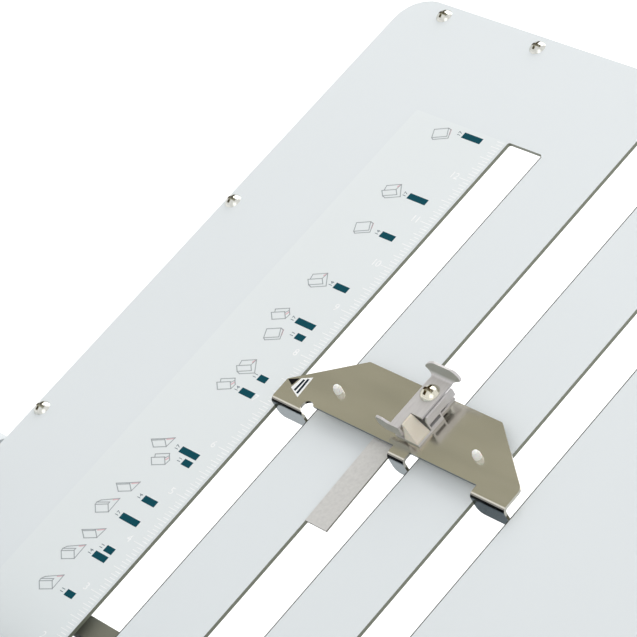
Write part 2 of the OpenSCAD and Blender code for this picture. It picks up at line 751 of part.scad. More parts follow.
// Hinged lid over the rollers, a shell open below with its two pivots
module top_cover() color("#E2E7E8") place() {
    outline = [[-lid_front, nip_h + lid_edge - 8], [lid_back, nip_h + lid_edge],
        [lid_back - lid_slope, cover_z], [-lid_front + 10, cover_z], [-lid_front, cover_z - 8]];
    inner = inset(outline, case_wall);
    cavity = [for (i = [0 : 4]) i < 2 ? [inner[i][0], nip_h] : inner[i]];
    half = frame_in - slide_gap;
    difference() {
        along_x(-half, half) polygon(rounded(outline, lid_rounds));
        along_x(-half + case_wall, half - case_wall) polygon(rounded(cavity, shrink(lid_rounds, case_wall)));
    }
    for (side = [0, 1]) mirror([side, 0, 0]) rod(lift(lid_axis), half - 1, frame_out - 0.5, lid_pin_r);
}

// Rollers, gears and drive

module bearings() color("#B08D57") place()
    for (side = [0, 1], p = [axis_1, axis_2, axis_3, axis_4, feed_axis, delivery_axis])
        mirror([side, 0, 0]) difference() {
            union() {
                rod(lift(p), frame_in, frame_out, bush_r);
                rod(lift(p), frame_in - bush_flange, frame_in, bush_r + bush_flange);
            }
            rod(lift(p), frame_in - bush_flange - 1, frame_out + 1, shaft_r + run_gap);
        }

// A folding roller: steel shaft with bonded rubber, its right end reaching x1
module fold_roller(p, x0, x1) place() {
    rod(lift(p), x0, x1, shaft_r);
    rod(lift(p), -rubber_x, rubber_x, roller_r);
    shaft_body(p);
}

// The thicker middle of a shaft, between the bushes
module shaft_body(p) rod(lift(p), -frame_in + shoulder_gap, frame_in - shoulder_gap, shaft_r + shoulder);

module roller_1() color("#3A4048") fold_roller(axis_1, -frame_out - 1, gear_end);
module roller_2() color("#3A4048") fold_roller(axis_2, -case_x + knob_seat, gear_end);
module roller_3() color("#3A4048") fold_roller(axis_3, -frame_out - 1, gear_end);
module roller_4() color("#3A4048") fold_roller(axis_4, -frame_out - 1, drive_x + gear_w + 1);

module roller_gear_1() color("#E8E2D0") place()
    gear(axis_1, gear_x, roller_teeth, turn_1, shaft_r + press_gap);
module roller_gear_2() color("#E8E2D0") place()
    gear(axis_2, gear_x, roller_teeth, turn_2, shaft_r + press_gap);
module roller_gear_3() color("#E8E2D0") place()
    gear(axis_3, gear_x, roller_teeth, turn_3, shaft_r + press_gap);
module roller_gear_4() color("#E8E2D0") place()
    gear(axis_4, gear_x, roller_teeth, turn_4, shaft_r + press_gap);

module feed_roller() color("#4A4F54") place() {
    rod(lift(feed_axis), -frame_out - 1, gear_end, shaft_r);
    for (x = feed_wheels) rod(lift(feed_axis), x - feed_wheel_w / 2, x + feed_wheel_w / 2, feed_r);
    shaft_body(feed_axis);
}
module feed_gear() color("#E8E2D0") place()
    gear(feed_axis, gear_x, roller_teeth, turn_feed, shaft_r + press_gap);
module feed_idler() color("#E8E2D0") place()
    gear(feed_idler_axis, gear_x, idler_teeth, turn_feed_idler, stud_r + run_gap);

module delivery_roller() color("#4A4F54") place() {
    rod(lift(delivery_axis), -frame_out - 1, gear_end, shaft_r);
    for (x = delivery_wheels)
        rod(lift(delivery_axis), x - delivery_wheel_w / 2, x + delivery_wheel_w / 2, delivery_r);
    shaft_body(delivery_axis);
}
module delivery_gear() color("#E8E2D0") place()
    gear(delivery_axis, gear_x, idler_teeth, turn_delivery, shaft_r + press_gap);
module delivery_idler() color("#E8E2D0") place()
    gear(delivery_idler_axis, gear_x, idler_teeth, turn_delivery_idler, stud_r + run_gap);

module drive_gear() color("#E8E2D0") place() gear(axis_4, drive_x, drive_teeth, turn_4, shaft_r + press_gap);

module motor() color("#2F3336") place() {
    rod(lift(motor_axis), frame_in - motor_len, frame_in, motor_d / 2);
    rod(lift(motor_axis), frame_in - motor_len - 6, frame_in - motor_len, motor_d / 5);
    rod(lift(motor_axis), frame_in, frame_out, motor_nose_r - press_gap);
}
module motor_pinion() color("#C9A24A") place() {
    gear(motor_axis, drive_x, pinion_teeth, turn_pinion, 0.001);
    rod(lift(motor_axis), frame_out + run_gap, drive_x + 1, stud_r);
}

module hand_knob() color("#33383C") place() difference() {
    x0 = -case_x + 2;
    rod(lift(axis_2), x0, x0 + knob_w, knob_d / 2);
    rod(lift(axis_2), -case_x + knob_seat, x0 + knob_w + 1, shaft_r + press_gap);
    for (a = grips) rod(lift(axis_2 + (knob_d / 2 + 1) * dir(a)), x0 - 1, x0 + knob_w + 1, grip_r);
}

// Upper fold plate

module upper_sheet() color("#E2E7E8") on_plate() translate([0, 0, channel / 2]) linear_extrude(sheet_t)
    difference() {
        sheet_blank(plate_w / 2, plate_start, plate_end, plate_corner);
        slots(slot_start, slot_end, mid_slot_end, 0);
        for (p = screw_places) translate(p) circle(screw_r + press_gap);
    }

module lower_sheet() color("#D6DBDC") on_plate() translate([0, 0, under_n]) linear_extrude(under_t)
    difference() {
        sheet_blank(rail_in - press_gap, plate_start, plate_end - end_bar_w - slide_gap, 2);
        slots(slot_start, slot_end, mid_slot_end - slot_relief / 2, slot_relief);
    }

module side_rails() color("#C4C8C9") on_plate()
    for (side = [0, 1]) mirror([side, 0, 0]) rail(rail_start, rail_end, rail_depth, side_screws);

module end_bar() color("#C4C8C9") on_plate() difference() {
    half = plate_w / 2 - plate_corner;
    block([-half, plate_end - end_bar_w, -end_bar_depth], [half, plate_end, channel / 2]);
    for (u = end_screw_us) translate([u, end_screw_s, -end_bar_depth - 1])
        cylinder(h = end_bar_depth + channel, r = screw_r + press_gap);
}

module cross_bar() color("#4B4A3C") on_plate()
    block([-rail_in + ledge_w + press_gap, cross_bar_s, under_n - cross_bar_h],
        [rail_in - ledge_w - press_gap, cross_bar_s + cross_bar_w, under_n]);

module plate_screws() color("#C8C8C6") on_plate() translate([0, 0, top_n])
    for (p = screw_places) translate(p) pan_screw(screw_head_r, screw_head_h, screw_r, screw_len);

// Paper stop of the upper fold plate

module stop_plate() color("#938F7C") on_stop() difference() {
    union() {
        translate([0, 0, stop_lift]) linear_extrude(stop_t) stop_outline();
        for (side = [0, 1]) mirror([side, 0, 0]) finger(leg_in, leg_out);
        finger(mid_finger[0], mid_finger[1]);
    }
    translate([relief_at[0], relief_at[1], stop_lift - 1]) cylinder(h = stop_t + 2, r = relief_r);
    for (side = [-1, 1]) translate([side * stud_u, stud_v, stop_lift - 1])
        cylinder(h = stop_t + 2, r = rivet_r + press_gap);
    translate([screw_u, clamp_screw_v, stop_lift - 1]) cylinder(h = stop_t + 2, r = screw_hole_r);
}

module glide_studs() color("#F4F4F0") on_stop()
    for (side = [-1, 1]) translate([side * stud_u, stud_v, 0]) rotate_extrude()
        polygon([[0, foot_clear], [stud_foot_r - 0.6, foot_clear], [stud_foot_r, foot_clear + 0.6],
            [stud_foot_r, stop_lift], [rivet_r, stop_lift], [rivet_r, stop_top], [stud_head_r, stop_top],
            [stud_head_r, stop_top + stud_head_h * 0.5], [stud_head_r * 0.7, stop_top + stud_head_h * 0.9],
            [0, stop_top + stud_head_h]]);

module guide_tongue() color("#C8C8C6") on_stop() {
    fixed = stop_lift - tongue_t;
    bend = [2, (slide_gap + fixed) / 2];
    flat_v = bend[0] + 2.5;
    far_v = stop_far_v - 2.3;
    along_x(tongue_u - tongue_w, tongue_u)
        polygon([[-tongue_reach, slide_gap], bend, [flat_v, fixed], [far_v, fixed], [far_v, stop_lift],
            [flat_v - 0.3, stop_lift], bend + [-0.3, tongue_t], [-tongue_reach, slide_gap + tongue_t]]);
}

// Bracket: base and high left wall, and past the block a right wall with a slot window and a free far end
module clamp_bracket() color("#C8C8C6") on_stop() difference() {
    union() {
        block([0, clamp_near, stop_top], [clamp_w, wall_foot_v, base_h]);
        block([0, clamp_near, stop_top], [clamp_w - 2 * clamp_t, clamp_far, base_h]);
        block([0, wing_v + 0.8, stop_top], [clamp_t, clamp_far, lever_under]);
        along_x(clamp_w - clamp_t, clamp_w) difference() {
            polygon([[wall_v, stop_top], [wall_foot_v, stop_top], [wall_foot_v, wall_low],
                [clamp_far, wall_low], [clamp_far, lever_under], [wall_v + 1, lever_under],
                [wall_v, lever_under - 1.5]]);
            translate([window_v[0], window_h[0]])
                square([window_v[1] - window_v[0], window_h[1] - window_h[0]]);
        }
    }
    translate([screw_u, clamp_screw_v, stop_top - 1]) cylinder(h = clamp_t + 2, r = screw_hole_r);
    rod([pivot_v, stop_top + pivot_h], -1, clamp_t + 1, pivot_r + press_gap);
}

// Block that carries the pivot: a core under the lever and, beside it, a cheek with sloping faces
module pivot_block() color("#DCD4C4") on_stop() difference() {
    core_top = lever_under - 0.7;
    core_u = lever_u + clamp_t + flange_gap;
    foot_u = clamp_w - flange_gap;
    foot_top = base_h + 0.8;
    union() {
        block([core_u, wing_v + 1.6, base_h], [cheek_u + 0.01, cheek_v[1], core_top]);
        intersection() {
            along_y(cheek_v[0], cheek_v[1]) polygon([[cheek_u, base_h], [foot_u, base_h], [foot_u, foot_top],
                [cheek_u + 0.8, lever_h], [cheek_u, lever_h]]);
            along_x(cheek_u, foot_u) polygon([[cheek_v[0], base_h], [cheek_v[1], base_h],
                [cheek_v[1], lever_h], [wing_v + 1.2, lever_h], [cheek_v[0], foot_top]]);
        }
    }
    rod([pivot_v, stop_top + pivot_h], core_u - 1, cheek_u, pivot_r + press_gap);
}

// Lever: top plate, near wing, ear on the pivot and a flared finger lip
module clamp_lever() color("#D8D8D4") on_stop() {
    near_u = lever_u + lever_near_w;
    far_u = clamp_w - lever_u;
    half = screw_u - lever_u;
    wing_low = lever_h + clamp_t - wing_h;
    lip_c = clamp_far + 0.4;
    lip_centre = [lip_c, lever_h + lip_r];
    lip_reach = 8;
    lip_low = lip_h / 3;
    difference() {
        union() {
            block([lever_u, pivot_v + ear_r, lever_under], [far_u, lip_c + 0.01, lever_h]);
            block([lever_u, wing_v, lever_under], [near_u, pivot_v + ear_r + 0.01, lever_h]);
            along_y(wing_v - clamp_t, wing_v + 0.01) polygon(rounded([[-wing_reach, wing_low + 2],
                [-wing_reach + 3, wing_low], [near_u, wing_low], [near_u, lever_h], [0, lever_h],
                [-3, lever_h + clamp_t], [-wing_reach, lever_h + clamp_t]], [1, 1, 1, 0, 2, 2, 1]));
            along_x(lever_u, lever_u + clamp_t) {
                translate([pivot_v, stop_top + pivot_h]) circle(ear_r);
                translate([pivot_v - ear_r, stop_top + pivot_h])
                    square([ear_r * 2, lever_top - pivot_h - clamp_t / 2]);
            }
            intersection() {
                along_x(screw_u - lip_w, screw_u + lip_w) polygon(concat(
                    [for (a = [-90 : 10 : -20]) lip_centre + (lip_r + clamp_t) * dir(a)],
                    [lip_centre + [lip_r + clamp_t + 1, 1.8], lip_centre + [lip_r + 1, 2.1]],
                    [for (a = [-20 : -10 : -90]) lip_centre + lip_r * dir(a)]));
                along_y(clamp_far, clamp_far + lip_reach) translate([screw_u, lever_h]) polygon(concat(
                    [[-half, -clamp_t - 1], [half, -clamp_t - 1], [half, 0]],
                    [for (a = [0 : 15 : 180]) [lip_w / 2 * cos(a), lip_low + (lip_h - lip_low) * sin(a)]],
                    [[-half, 0]]));
            }
        }
        translate([screw_u, clamp_screw_v, lever_under - 1]) cylinder(h = clamp_t + 3, r = screw_r + 1.1);
        rod([pivot_v, stop_top + pivot_h], 0, lever_u + clamp_t + 0.1, pivot_r + run_gap);
    }
}

module clamp_pin() color("#B4B4B0") on_stop() {
    rod([pivot_v, stop_top + pivot_h], 0, lever_u + lever_near_w, pivot_r);
    rod([pivot_v, stop_top + pivot_h], -0.8, 0, pivot_r + 0.8);
}

module clamp_screw() color("#D0CDBE") on_stop() translate([screw_u, clamp_screw_v, lever_h + foot_clear])
    pan_screw(clamp_head_r, clamp_head_h, screw_r, lever_h + foot_clear - shoe_top + shoe_t - 1);

// Wire tube along the coil: rings of points joined by triangles, closed by a fan at each end
module clamp_spring() color("#9C9C98") on_stop() translate([screw_u, clamp_screw_v, 0]) {
    points = [for (i = [0 : spring_rings], j = [0 : spring_sides - 1])
        let (turn = 360 * i / spring_step, a = 360 * j / spring_sides)
        coil[i] + spring_wire / 2 * [cos(a) * cos(turn), cos(a) * sin(turn), sin(a)]];
    sides = [for (i = [0 : spring_rings - 1], j = [0 : spring_sides - 1])
        let (a = i * spring_sides + j, b = i * spring_sides + (j + 1) % spring_sides)
        each [[a, a + spring_sides, b], [b, a + spring_sides, b + spring_sides]]];
    last = spring_rings * spring_sides;
    caps = [for (j = [1 : spring_sides - 2]) each [[0, j, j + 1], [last, last + j + 1, last + j]]];
    polyhedron(points, concat(sides, caps));
}

// Shoe under the plate: a neck in the middle slot and a flange below the lower sheet
module shoe() difference() {
    union() {
        block([mid_finger[0], neck_v[0], shoe_top - 0.01], [mid_finger[1], neck_v[1], stop_lift - slide_gap]);
        block([-shoe_half, shoe_near, shoe_top - shoe_t], [shoe_half, neck_v[1], shoe_top]);
    }
    translate([screw_u, clamp_screw_v, shoe_top - shoe_t - 1])
        cylinder(h = shoe_t + stop_lift - shoe_top + 2, r = screw_r + press_gap);
}
module slide_shoe() color("#3B3F42") on_stop() shoe();

// Second fold plate

module second_upper_sheet() color("#D6DBDC") on_second()
    translate([0, 0, channel / 2]) linear_extrude(sheet_t) difference() {
        sheet_blank(plate_w / 2, plate_start, second_end, second_corner);
        slots(slot_start, second_slot_end, second_slot_end, 0);
    }

module second_lower_sheet() color("#D6DBDC") on_second() translate([0, 0, under_n]) linear_extrude(under_t)
    difference() {
        sheet_blank(rail_in - press_gap, plate_start, second_rail_end, 2);
        slots(slot_start, second_slot_end - slot_relief / 2, second_slot_end - slot_relief / 2, slot_relief);
    }

module second_rails() color("#C4C8C9") on_second()
    for (side = [0, 1]) mirror([side, 0, 0]) rail(rail_start, second_rail_end, second_depth, []);

module second_stop() color("#938F7C") on_second_stop() difference() {
    union() {
        translate([0, 0, stop_lift]) linear_extrude(stop_t) stop_outline();
        for (side = [0, 1]) mirror([side, 0, 0]) {
            finger(leg_in, leg_out);
            translate([stud_u, stud_v, foot_clear]) cylinder(h = stop_lift, r = stud_foot_r);
        }
    }
    translate([screw_u, clamp_screw_v, stop_lift - 1]) cylinder(h = stop_t + 2, r = screw_r + run_gap);
}

module second_knob() color("#33383C") on_second_stop() translate([screw_u, clamp_screw_v, 0]) {
    translate([0, 0, stop_top + foot_clear]) difference() {
        cylinder(h = second_knob_h, r = second_knob_d / 2);
        for (a = grips) rotate(a) translate([second_knob_d / 2 + 1, 0, -1])
            cylinder(h = second_knob_h + 2, r = grip_r);
    }
    translate([0, 0, shoe_top - shoe_t + 1]) cylinder(h = stop_top - shoe_top + shoe_t, r = screw_r);
}

module second_shoe() color("#3B3F42") on_second_stop() difference() {
    shoe();
    translate([screw_u, clamp_screw_v, shoe_top - shoe_t - 1])
        cylinder(h = shoe_t + stop_lift - shoe_top + 2, r = screw_r + run_gap);
}

// Feed table and guides

module feed_table() color("#DDE2E4") place() {
    half = frame_in - slide_gap;
    under = table_z - table_t;
    ramp = [-plate_start, nip_h - 9];
    ramp_t = table_t / 2;
    difference() {
        union() {
            along_x(-half, half) polygon([[-table_end, under], [-table_near, under], ramp, ramp + [0, ramp_t],
                [-table_near, table_z], [-table_end, table_z]]);
            for (side = [0, 1]) mirror([side, 0, 0])
                block([half - table_t, -table_end, table_z - table_flange], [half, -table_near, under]);
            block([-half, -table_end, table_z - table_flange], [half, -table_end + table_t, under]);
        }
        for (side = [0, 1]) rotate([0, 0, side * 180]) translate([0, side * guide_y * 2, 0])
            translate([-guide_gap / 2 - guide_t, -guide_y + stem_y, 0])
                block([guide_travel[0] - guide_stem[0] - 2, -1, under - 1],
                    [guide_travel[1] + 2, guide_stem[1] + 1, table_z + 1]);
    }
    translate([0, -guide_y, rack_z - rack_h - 1]) cylinder(h = under - rack_z + rack_h + 1, r = guide_stud_r);
    translate([0, -guide_y, rack_z - rack_h - 2.5]) cylinder(h = 1.6, r = guide_stud_r + 2);
}

// Side guide on the left, with its rack reaching past the pinion
module guide() {
    x = -guide_gap / 2;
    y0 = -guide_y - guide_len / 2;
    y1 = -guide_y + guide_len / 2;
    low = table_z + slide_gap;
    out = x - guide_t - guide_stem[0];
    block([x - guide_t, y0, low], [x, y1, table_z + guide_h]);
    block([x - guide_t - guide_foot, y0 + guide_foot_inset, low],
        [x - guide_t + 0.01, y1 - guide_foot_inset, low + guide_t]);
    translate([out, -guide_y + stem_y, rack_z - rack_h])
        cube([guide_stem[0], guide_stem[1], low + 1 - rack_z + rack_h]);
    first = ceil(out / tooth_pitch);
    last = floor(rack_reach / tooth_pitch) - 1;
    translate([0, -guide_y + guide_r, rack_z - rack_h]) linear_extrude(rack_h) polygon(concat(
        [[rack_reach, rack_back], [out, rack_back], [out, tooth_root]],
        [for (k = [first : last]) let (c = (k + 0.5) * tooth_pitch)
            each [[c - root_half, tooth_root], [c - tip_half, -tooth_tip],
                [c + tip_half, -tooth_tip], [c + root_half, tooth_root]]],
        [[rack_reach, tooth_root]]));
}
module guide_left() color("#4A5055") place() guide();
module guide_right() color("#4A5055") place() translate([0, -2 * guide_y, 0]) rotate(180) guide();
module guide_pinion() color("#E8E2D0") place()
    translate([0, -guide_y, rack_z - rack_h]) linear_extrude(rack_h) difference() {
        polygon(gear_outline(guide_teeth, 0));
        circle(guide_stud_r + run_gap);
    }

module separator_pad() color("#8C5A3C") place()
    along_x(-pad_w / 2, pad_w / 2) translate([-feed_y, table_z])
        polygon(rounded([[-pad_len / 2, 0], [pad_len / 2, 0], [pad_len / 2, pad_t], [-pad_len / 2, pad_t]],
            [0, 0, 1, 1]));

// Delivery

module delivery_tray() color("#DDE2E4") place() {
    difference() {
        block([-tray_half, tray_y, tray_low], [tray_half, tray_end, tray_z + tray_wall_h]);
        block([-tray_half + tray_t, tray_y - 1, tray_z],
            [tray_half - tray_t, tray_end + 1, tray_z + tray_wall_h + 1]);
        block([-tray_slot / 2, tray_slot_near, tray_low - 1],
            [tray_slot / 2, tray_end - tray_slot_rest, tray_z + 1]);
    }
    leg_y = tray_end - tray_leg_back;
    block([-tray_half, leg_y, 0], [tray_half, leg_y + tray_t, tray_low]);
}

// Upright face, flat foot, key in the tray's slot and the nut plate under the tray
module delivery_stop() color("#4A5055") place() translate([0, tray_stop_y, tray_z]) {
    block([-tray_stop_w / 2, 0, slide_gap], [tray_stop_w / 2, stop_sheet, tray_stop_h]);
    block([-stop_foot[0] / 2, 0, slide_gap], [stop_foot[0] / 2, stop_foot[1], stop_sheet]);
    block([-stop_key[0] / 2, stop_key[1], -tray_t - 0.5], [stop_key[0] / 2, stop_key[2], 1]);
    block([-stop_nut / 2, stop_key[1], -tray_t - stop_sheet],
        [stop_nut / 2, stop_key[2], -tray_t - slide_gap]);
}

// Controls

module push_button(y) place() translate([control_x, y, 0]) {
    translate([0, 0, cover_z - case_wall - 1]) cylinder(h = case_wall + 1 + button_h, r = button_r);
    translate([0, 0, cover_z - case_wall - button_flange - slide_gap])
        cylinder(h = button_flange, r = button_r + button_flange);
}
module start_button() color("#3F8F5A") push_button(button_y);
module stop_button() color("#B23A34") push_button(button_y - button_pitch);

// Rocker that tips about its two pins behind the cover's wall
module power_switch() color("#26282A") place() translate([control_x, 0, 0]) {
    half = switch_w / 2 - slide_gap;
    tip = [-1.5, switch_h / 2 - 1.2];
    back = [switch_pivot - 1, switch_h / 2 - 2.5];
    along_x(-half, half) translate([-cover_front, switch_z])
        polygon([[switch_pivot + 2, 0], back, tip, [0.6, 0], [tip[0], -tip[1]], [back[0], -back[1]]]);
    pin = half + switch_pin_reach;
    rod([switch_pivot - cover_front, switch_z], -pin, pin, switch_pin_r);
}

module power_inlet() color("#1F2123") place() {
    half = [inlet_w / 2, inlet_h / 2];
    body = half - [press_gap, press_gap];
    socket = half - [inlet_wall, inlet_wall];
    translate([control_x, -cover_front, inlet_z]) difference() {
        block([-body[0], 0, -body[1]], [body[0], inlet_depth + inlet_wall, body[1]]);
        block([-socket[0], -1, -socket[1]], [socket[0], inlet_depth, socket[1]]);
    }
}

base_plate();
rubber_feet();
frame_left();
frame_right();
frame_rods();
cover_left();
cover_right();
top_cover();
bearings();
roller_1();
roller_2();
roller_3();
roller_4();
roller_gear_1();
roller_gear_2();
roller_gear_3();
roller_gear_4();
feed_roller();
feed_gear();
feed_idler();
delivery_roller();
delivery_gear();
delivery_idler();
drive_gear();
motor();
motor_pinion();
hand_knob();
upper_sheet();
lower_sheet();
side_rails();
end_bar();
cross_bar();
plate_screws();
stop_plate();
glide_studs();
guide_tongue();
clamp_bracket();
pivot_block();
clamp_lever();
clamp_pin();
clamp_screw();
clamp_spring();
slide_shoe();
second_upper_sheet();
second_lower_sheet();
second_rails();
second_stop();
second_knob();
second_shoe();
feed_table();
guide_left();
guide_right();
guide_pinion();
separator_pad();
delivery_tray();
delivery_stop();
start_button();
stop_button();
power_switch();
power_inlet();
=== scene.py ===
"""Dress the desk paper folding machine: finishes, printed scales, small trim, stage and camera."""

import json
import math
from collections import namedtuple
from functools import cache

import bmesh
import bpy
import numpy as np
from bpy.props import FloatProperty, FloatVectorProperty, IntProperty, PointerProperty, StringProperty
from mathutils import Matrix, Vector


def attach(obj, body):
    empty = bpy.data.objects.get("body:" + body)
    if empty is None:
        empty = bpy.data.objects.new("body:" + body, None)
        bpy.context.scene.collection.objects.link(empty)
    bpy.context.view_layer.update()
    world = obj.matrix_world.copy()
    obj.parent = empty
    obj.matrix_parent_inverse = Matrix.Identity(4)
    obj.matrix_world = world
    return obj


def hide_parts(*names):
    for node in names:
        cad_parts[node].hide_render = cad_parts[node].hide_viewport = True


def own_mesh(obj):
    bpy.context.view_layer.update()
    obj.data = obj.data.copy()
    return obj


bl_info = {
    "name": "Paper folding machine",
    "version": (1, 0, 0),
    "blender": (4, 5, 0),
    "location": "View3D > Sidebar > Folding machine",
    "description": "Finishes, printed scales, trim and stage of a desk paper folding machine",
    "category": "Object",
}

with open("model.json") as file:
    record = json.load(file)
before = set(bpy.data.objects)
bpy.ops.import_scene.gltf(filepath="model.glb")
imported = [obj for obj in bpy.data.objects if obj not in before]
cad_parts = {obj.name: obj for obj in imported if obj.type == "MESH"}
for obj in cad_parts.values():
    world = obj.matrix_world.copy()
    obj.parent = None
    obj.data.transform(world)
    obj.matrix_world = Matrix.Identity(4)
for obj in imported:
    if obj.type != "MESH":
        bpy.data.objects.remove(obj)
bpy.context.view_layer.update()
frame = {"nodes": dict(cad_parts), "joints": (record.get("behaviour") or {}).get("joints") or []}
MM = 0.001
INCH = 25.4
FULL_TURN = 2 * math.pi
X, Y, Z = np.eye(3)
# Thickness of printed ink, in mm
INK = 0.03
# Edges that bend more than this are sharp
SHARP = math.radians(40)

# A flat place to print or fasten on: a point, the directions across and along it, and its outward normal
Plane = namedtuple("Plane", "origin across along above")


def joint(name):
    """The record's joint of that name."""
    return next(j for j in frame["joints"] if j["name"] == name)


def joint_point(name):
    """The place of a joint's axis, in metres."""
    return np.array(joint(name)["pos_m"])


def rows_of(items, attribute, width, kind=np.float32):
    """One attribute of a mesh's vertices, edges or triangles, as an array with a row for each."""
    flat = np.empty(len(items) * width, kind)
    items.foreach_get(attribute, flat)
    return flat.reshape(-1, width)


def points(node):
    """All vertices of a CAD node as an array, in metres."""
    return rows_of(frame["nodes"][node].data.vertices, "co", 3).astype(float)


def corners_of(node):
    """The low and the high corner of a node's box, in metres."""
    cloud = points(node)
    return cloud.min(axis=0), cloud.max(axis=0)


def middle_of(node):
    """The middle of a node's box, in metres."""
    return np.mean(corners_of(node), axis=0)


def sheet_plane(roller_a, roller_b, slide, node, side):
    """The top of a fold plate's sheet: measured from the nip of two rollers, along the stop's slide.

    side is 1 or -1 and sets which way is across, so that the normal points out of the sheet's free face."""
    nip = (joint_point(roller_a) + joint_point(roller_b)) / 2
    along = np.array(joint(slide)["axis"])
    across = side * X
    above = np.cross(across, along)
    rise = ((points(node) - nip) @ above).max()
    return Plane(nip + rise * above, across, along, above)


def box_face(node, above, along):
    """The side of a node's box that looks along above: its middle, its along direction and the one across."""
    low, high = corners_of(node)
    return Plane((low + high) / 2 + above * (high - low) / 2, np.cross(along, above), along, above)


def level(near, height):
    """A level plane in the machine's middle, from a place near the front and at a height, both in metres."""
    return Plane(np.array([0.0, near, height]), X, Y, Z)


def lay(plane, across, along, rise):
    """Points of a plane: its origin plus so many millimetres across, along and above it."""
    amounts = np.stack(np.broadcast_arrays(across, along, rise), axis=-1) * MM
    return plane.origin + amounts @ np.stack(plane[1:])


def measured(plane, spots):
    """Where points lie from a plane: millimetres across, along and above it."""
    return (spots - plane.origin) @ np.stack(plane[1:]).T / MM


def moved(plane, across, along):
    """The same plane with its origin moved by so many millimetres."""
    return plane._replace(origin=lay(plane, across, along, 0.0))


def reach(plane, node):
    """How far a node reaches across, along and above a plane, in millimetres."""
    return measured(plane, points(node)).max(axis=0)


def long_edges(plane, node, least):
    """A node's edges that lie in a plane and run along it for over least mm: across, from and to along."""
    same = 0.01
    ends = rows_of(frame["nodes"][node].data.edges, "vertices", 2, np.int32)
    across, along, rise = np.moveaxis(measured(plane, points(node)[ends]), -1, 0)
    flat = (np.ptp(across, axis=1) < same) & (np.abs(rise).max(axis=1) < same)
    kept = flat & (np.ptp(along, axis=1) > least)
    return across[kept, 0], along[kept].min(axis=1), along[kept].max(axis=1)


SHEET = sheet_plane("roller_1_turn", "roller_2_turn", "stop_slide", "upper_sheet", 1.0)
SECOND = sheet_plane("roller_2_turn", "roller_3_turn", "second_stop_slide", "second_upper_sheet", -1.0)
SHEET_TILT = math.atan2(SHEET.along[2], SHEET.along[1])


# Sizes and colours that a user would change

class PrintSettings(bpy.types.PropertyGroup):
    """The printed scale of the upper fold plate, in millimetres and inches of the plate"""
    film_left: FloatProperty(name="Film left edge", description="In mm from the middle", default=-119.6)
    film_right: FloatProperty(name="Film right edge", description="In mm from the middle", default=-66.4)
    film_near: FloatProperty(name="Film near end", description="In mm from the rollers' nip", default=24.0)
    film_far: FloatProperty(name="Film far end", description="In mm from the rollers' nip", default=328.0)
    divisions: IntProperty(name="Divisions", description="Scale divisions to the inch", default=16)
    number_size: FloatProperty(name="Number height", description="Height of the numbers in mm", default=3.4)
    line: FloatProperty(name="Line width", description="Width of the fold figures' lines in mm", default=0.4)
    film_colour: StringProperty(name="Film", description="Colour of the scale film", default="#E4E9EA")
    scale_colour: StringProperty(name="Scale", description="Colour of white print", default="#F8FAFA")
    box_colour: StringProperty(name="Boxes", description="Colour of the paper size boxes", default="#0A4955")
    figure_colour: StringProperty(name="Figures", description="Colour of the fold figures", default="#A3A8AB")
    crease_colour: StringProperty(name="Creases", description="Colour of the creases", default="#E0B8BE")


class FinishSettings(bpy.types.PropertyGroup):
    """Colours of the machine's finishes"""
    sheet: StringProperty(name="Sheet paint", description="Powder coat of the fold plates", default="#E1E6E8")
    # Slot walls: the colour of their painted shade
    cut_edge: StringProperty(name="Cut edge", description="Bare cut edge of the sheets", default="#828676")
    # Slot edges: the colour of the thin strip of painted shade along them
    rim: StringProperty(name="Slot rim", description="Bare rim of the slots on the sheets", default="#4E4F46")
    case: StringProperty(name="Case", description="Moulded side covers", default="#DDE2E4")
    second: StringProperty(name="Lid and trays", description="Lid, feed table and tray", default="#C6CED2")
    stop: StringProperty(name="Paper stop", description="Polished steel of the stops", default="#DAD7CC")
    clamp: StringProperty(name="Clamp", description="Brushed nickel of the clamp", default="#D0CDCD")
    tongue: StringProperty(name="Tongue", description="Tumbled nickel of the guide tongue", default="#DCDBDA")
    ivory: StringProperty(name="Pivot block", description="Ivory moulding under the lever", default="#E6DDCC")
    dark: StringProperty(name="Dark mouldings", description="Knobs and motor", default="#33383C")


class TrimSettings(bpy.types.PropertyGroup):
    """Small trim of the case and the trays"""
    louvres: IntProperty(name="Louvres", description="Number of vent louvres beside the motor", default=8)
    louvre_length: FloatProperty(name="Louvre length", description="Length of a louvre in mm", default=64.0)
    louvre_pitch: FloatProperty(name="Louvre spacing", description="Spacing of louvres in mm", default=9.0)
    screw_radius: FloatProperty(name="Screw radius", description="Radius of a cover screw in mm", default=4.0)
    hem: FloatProperty(name="Hem", description="Width of the delivery tray's rolled hem in mm", default=4.2)


class StageSettings(bpy.types.PropertyGroup):
    """Camera and light"""
    camera_place: FloatVectorProperty(name="Camera", subtype="XYZ", default=(0.78527, -0.16712, 0.83712),
                                      description="Camera across, along and above the upper sheet, in m")
    camera_aim: FloatVectorProperty(name="Aim", subtype="XYZ", default=(-0.0797, 0.2210, 0.0),
                                    description="Point that the camera looks at, on the same plate")
    lens: FloatProperty(name="Lens", description="Focal length in mm on a 36 mm frame", default=178.06)
    key_power: FloatProperty(name="Key light", description="Power of the lamp", default=22.0, unit="POWER")
    fill_power: FloatProperty(name="Fill light", description="Power of the lamp", default=5.0, unit="POWER")
    sky: FloatProperty(name="Sky", description="Strength of the even light from all round", default=0.745)
    corner: StringProperty(name="Dim corner", default="#B0AE9D",
                           description="Colour of the room's dim corner that the stop mirrors")


class MachineSettings(bpy.types.PropertyGroup):
    """All settings of the paper folding machine"""
    prints: PointerProperty(type=PrintSettings)
    finish: PointerProperty(type=FinishSettings)
    trim: PointerProperty(type=TrimSettings)
    stage: PointerProperty(type=StageSettings)


def settings():
    """The machine's settings on the scene."""
    return bpy.context.scene.folding_machine


# Mesh helpers

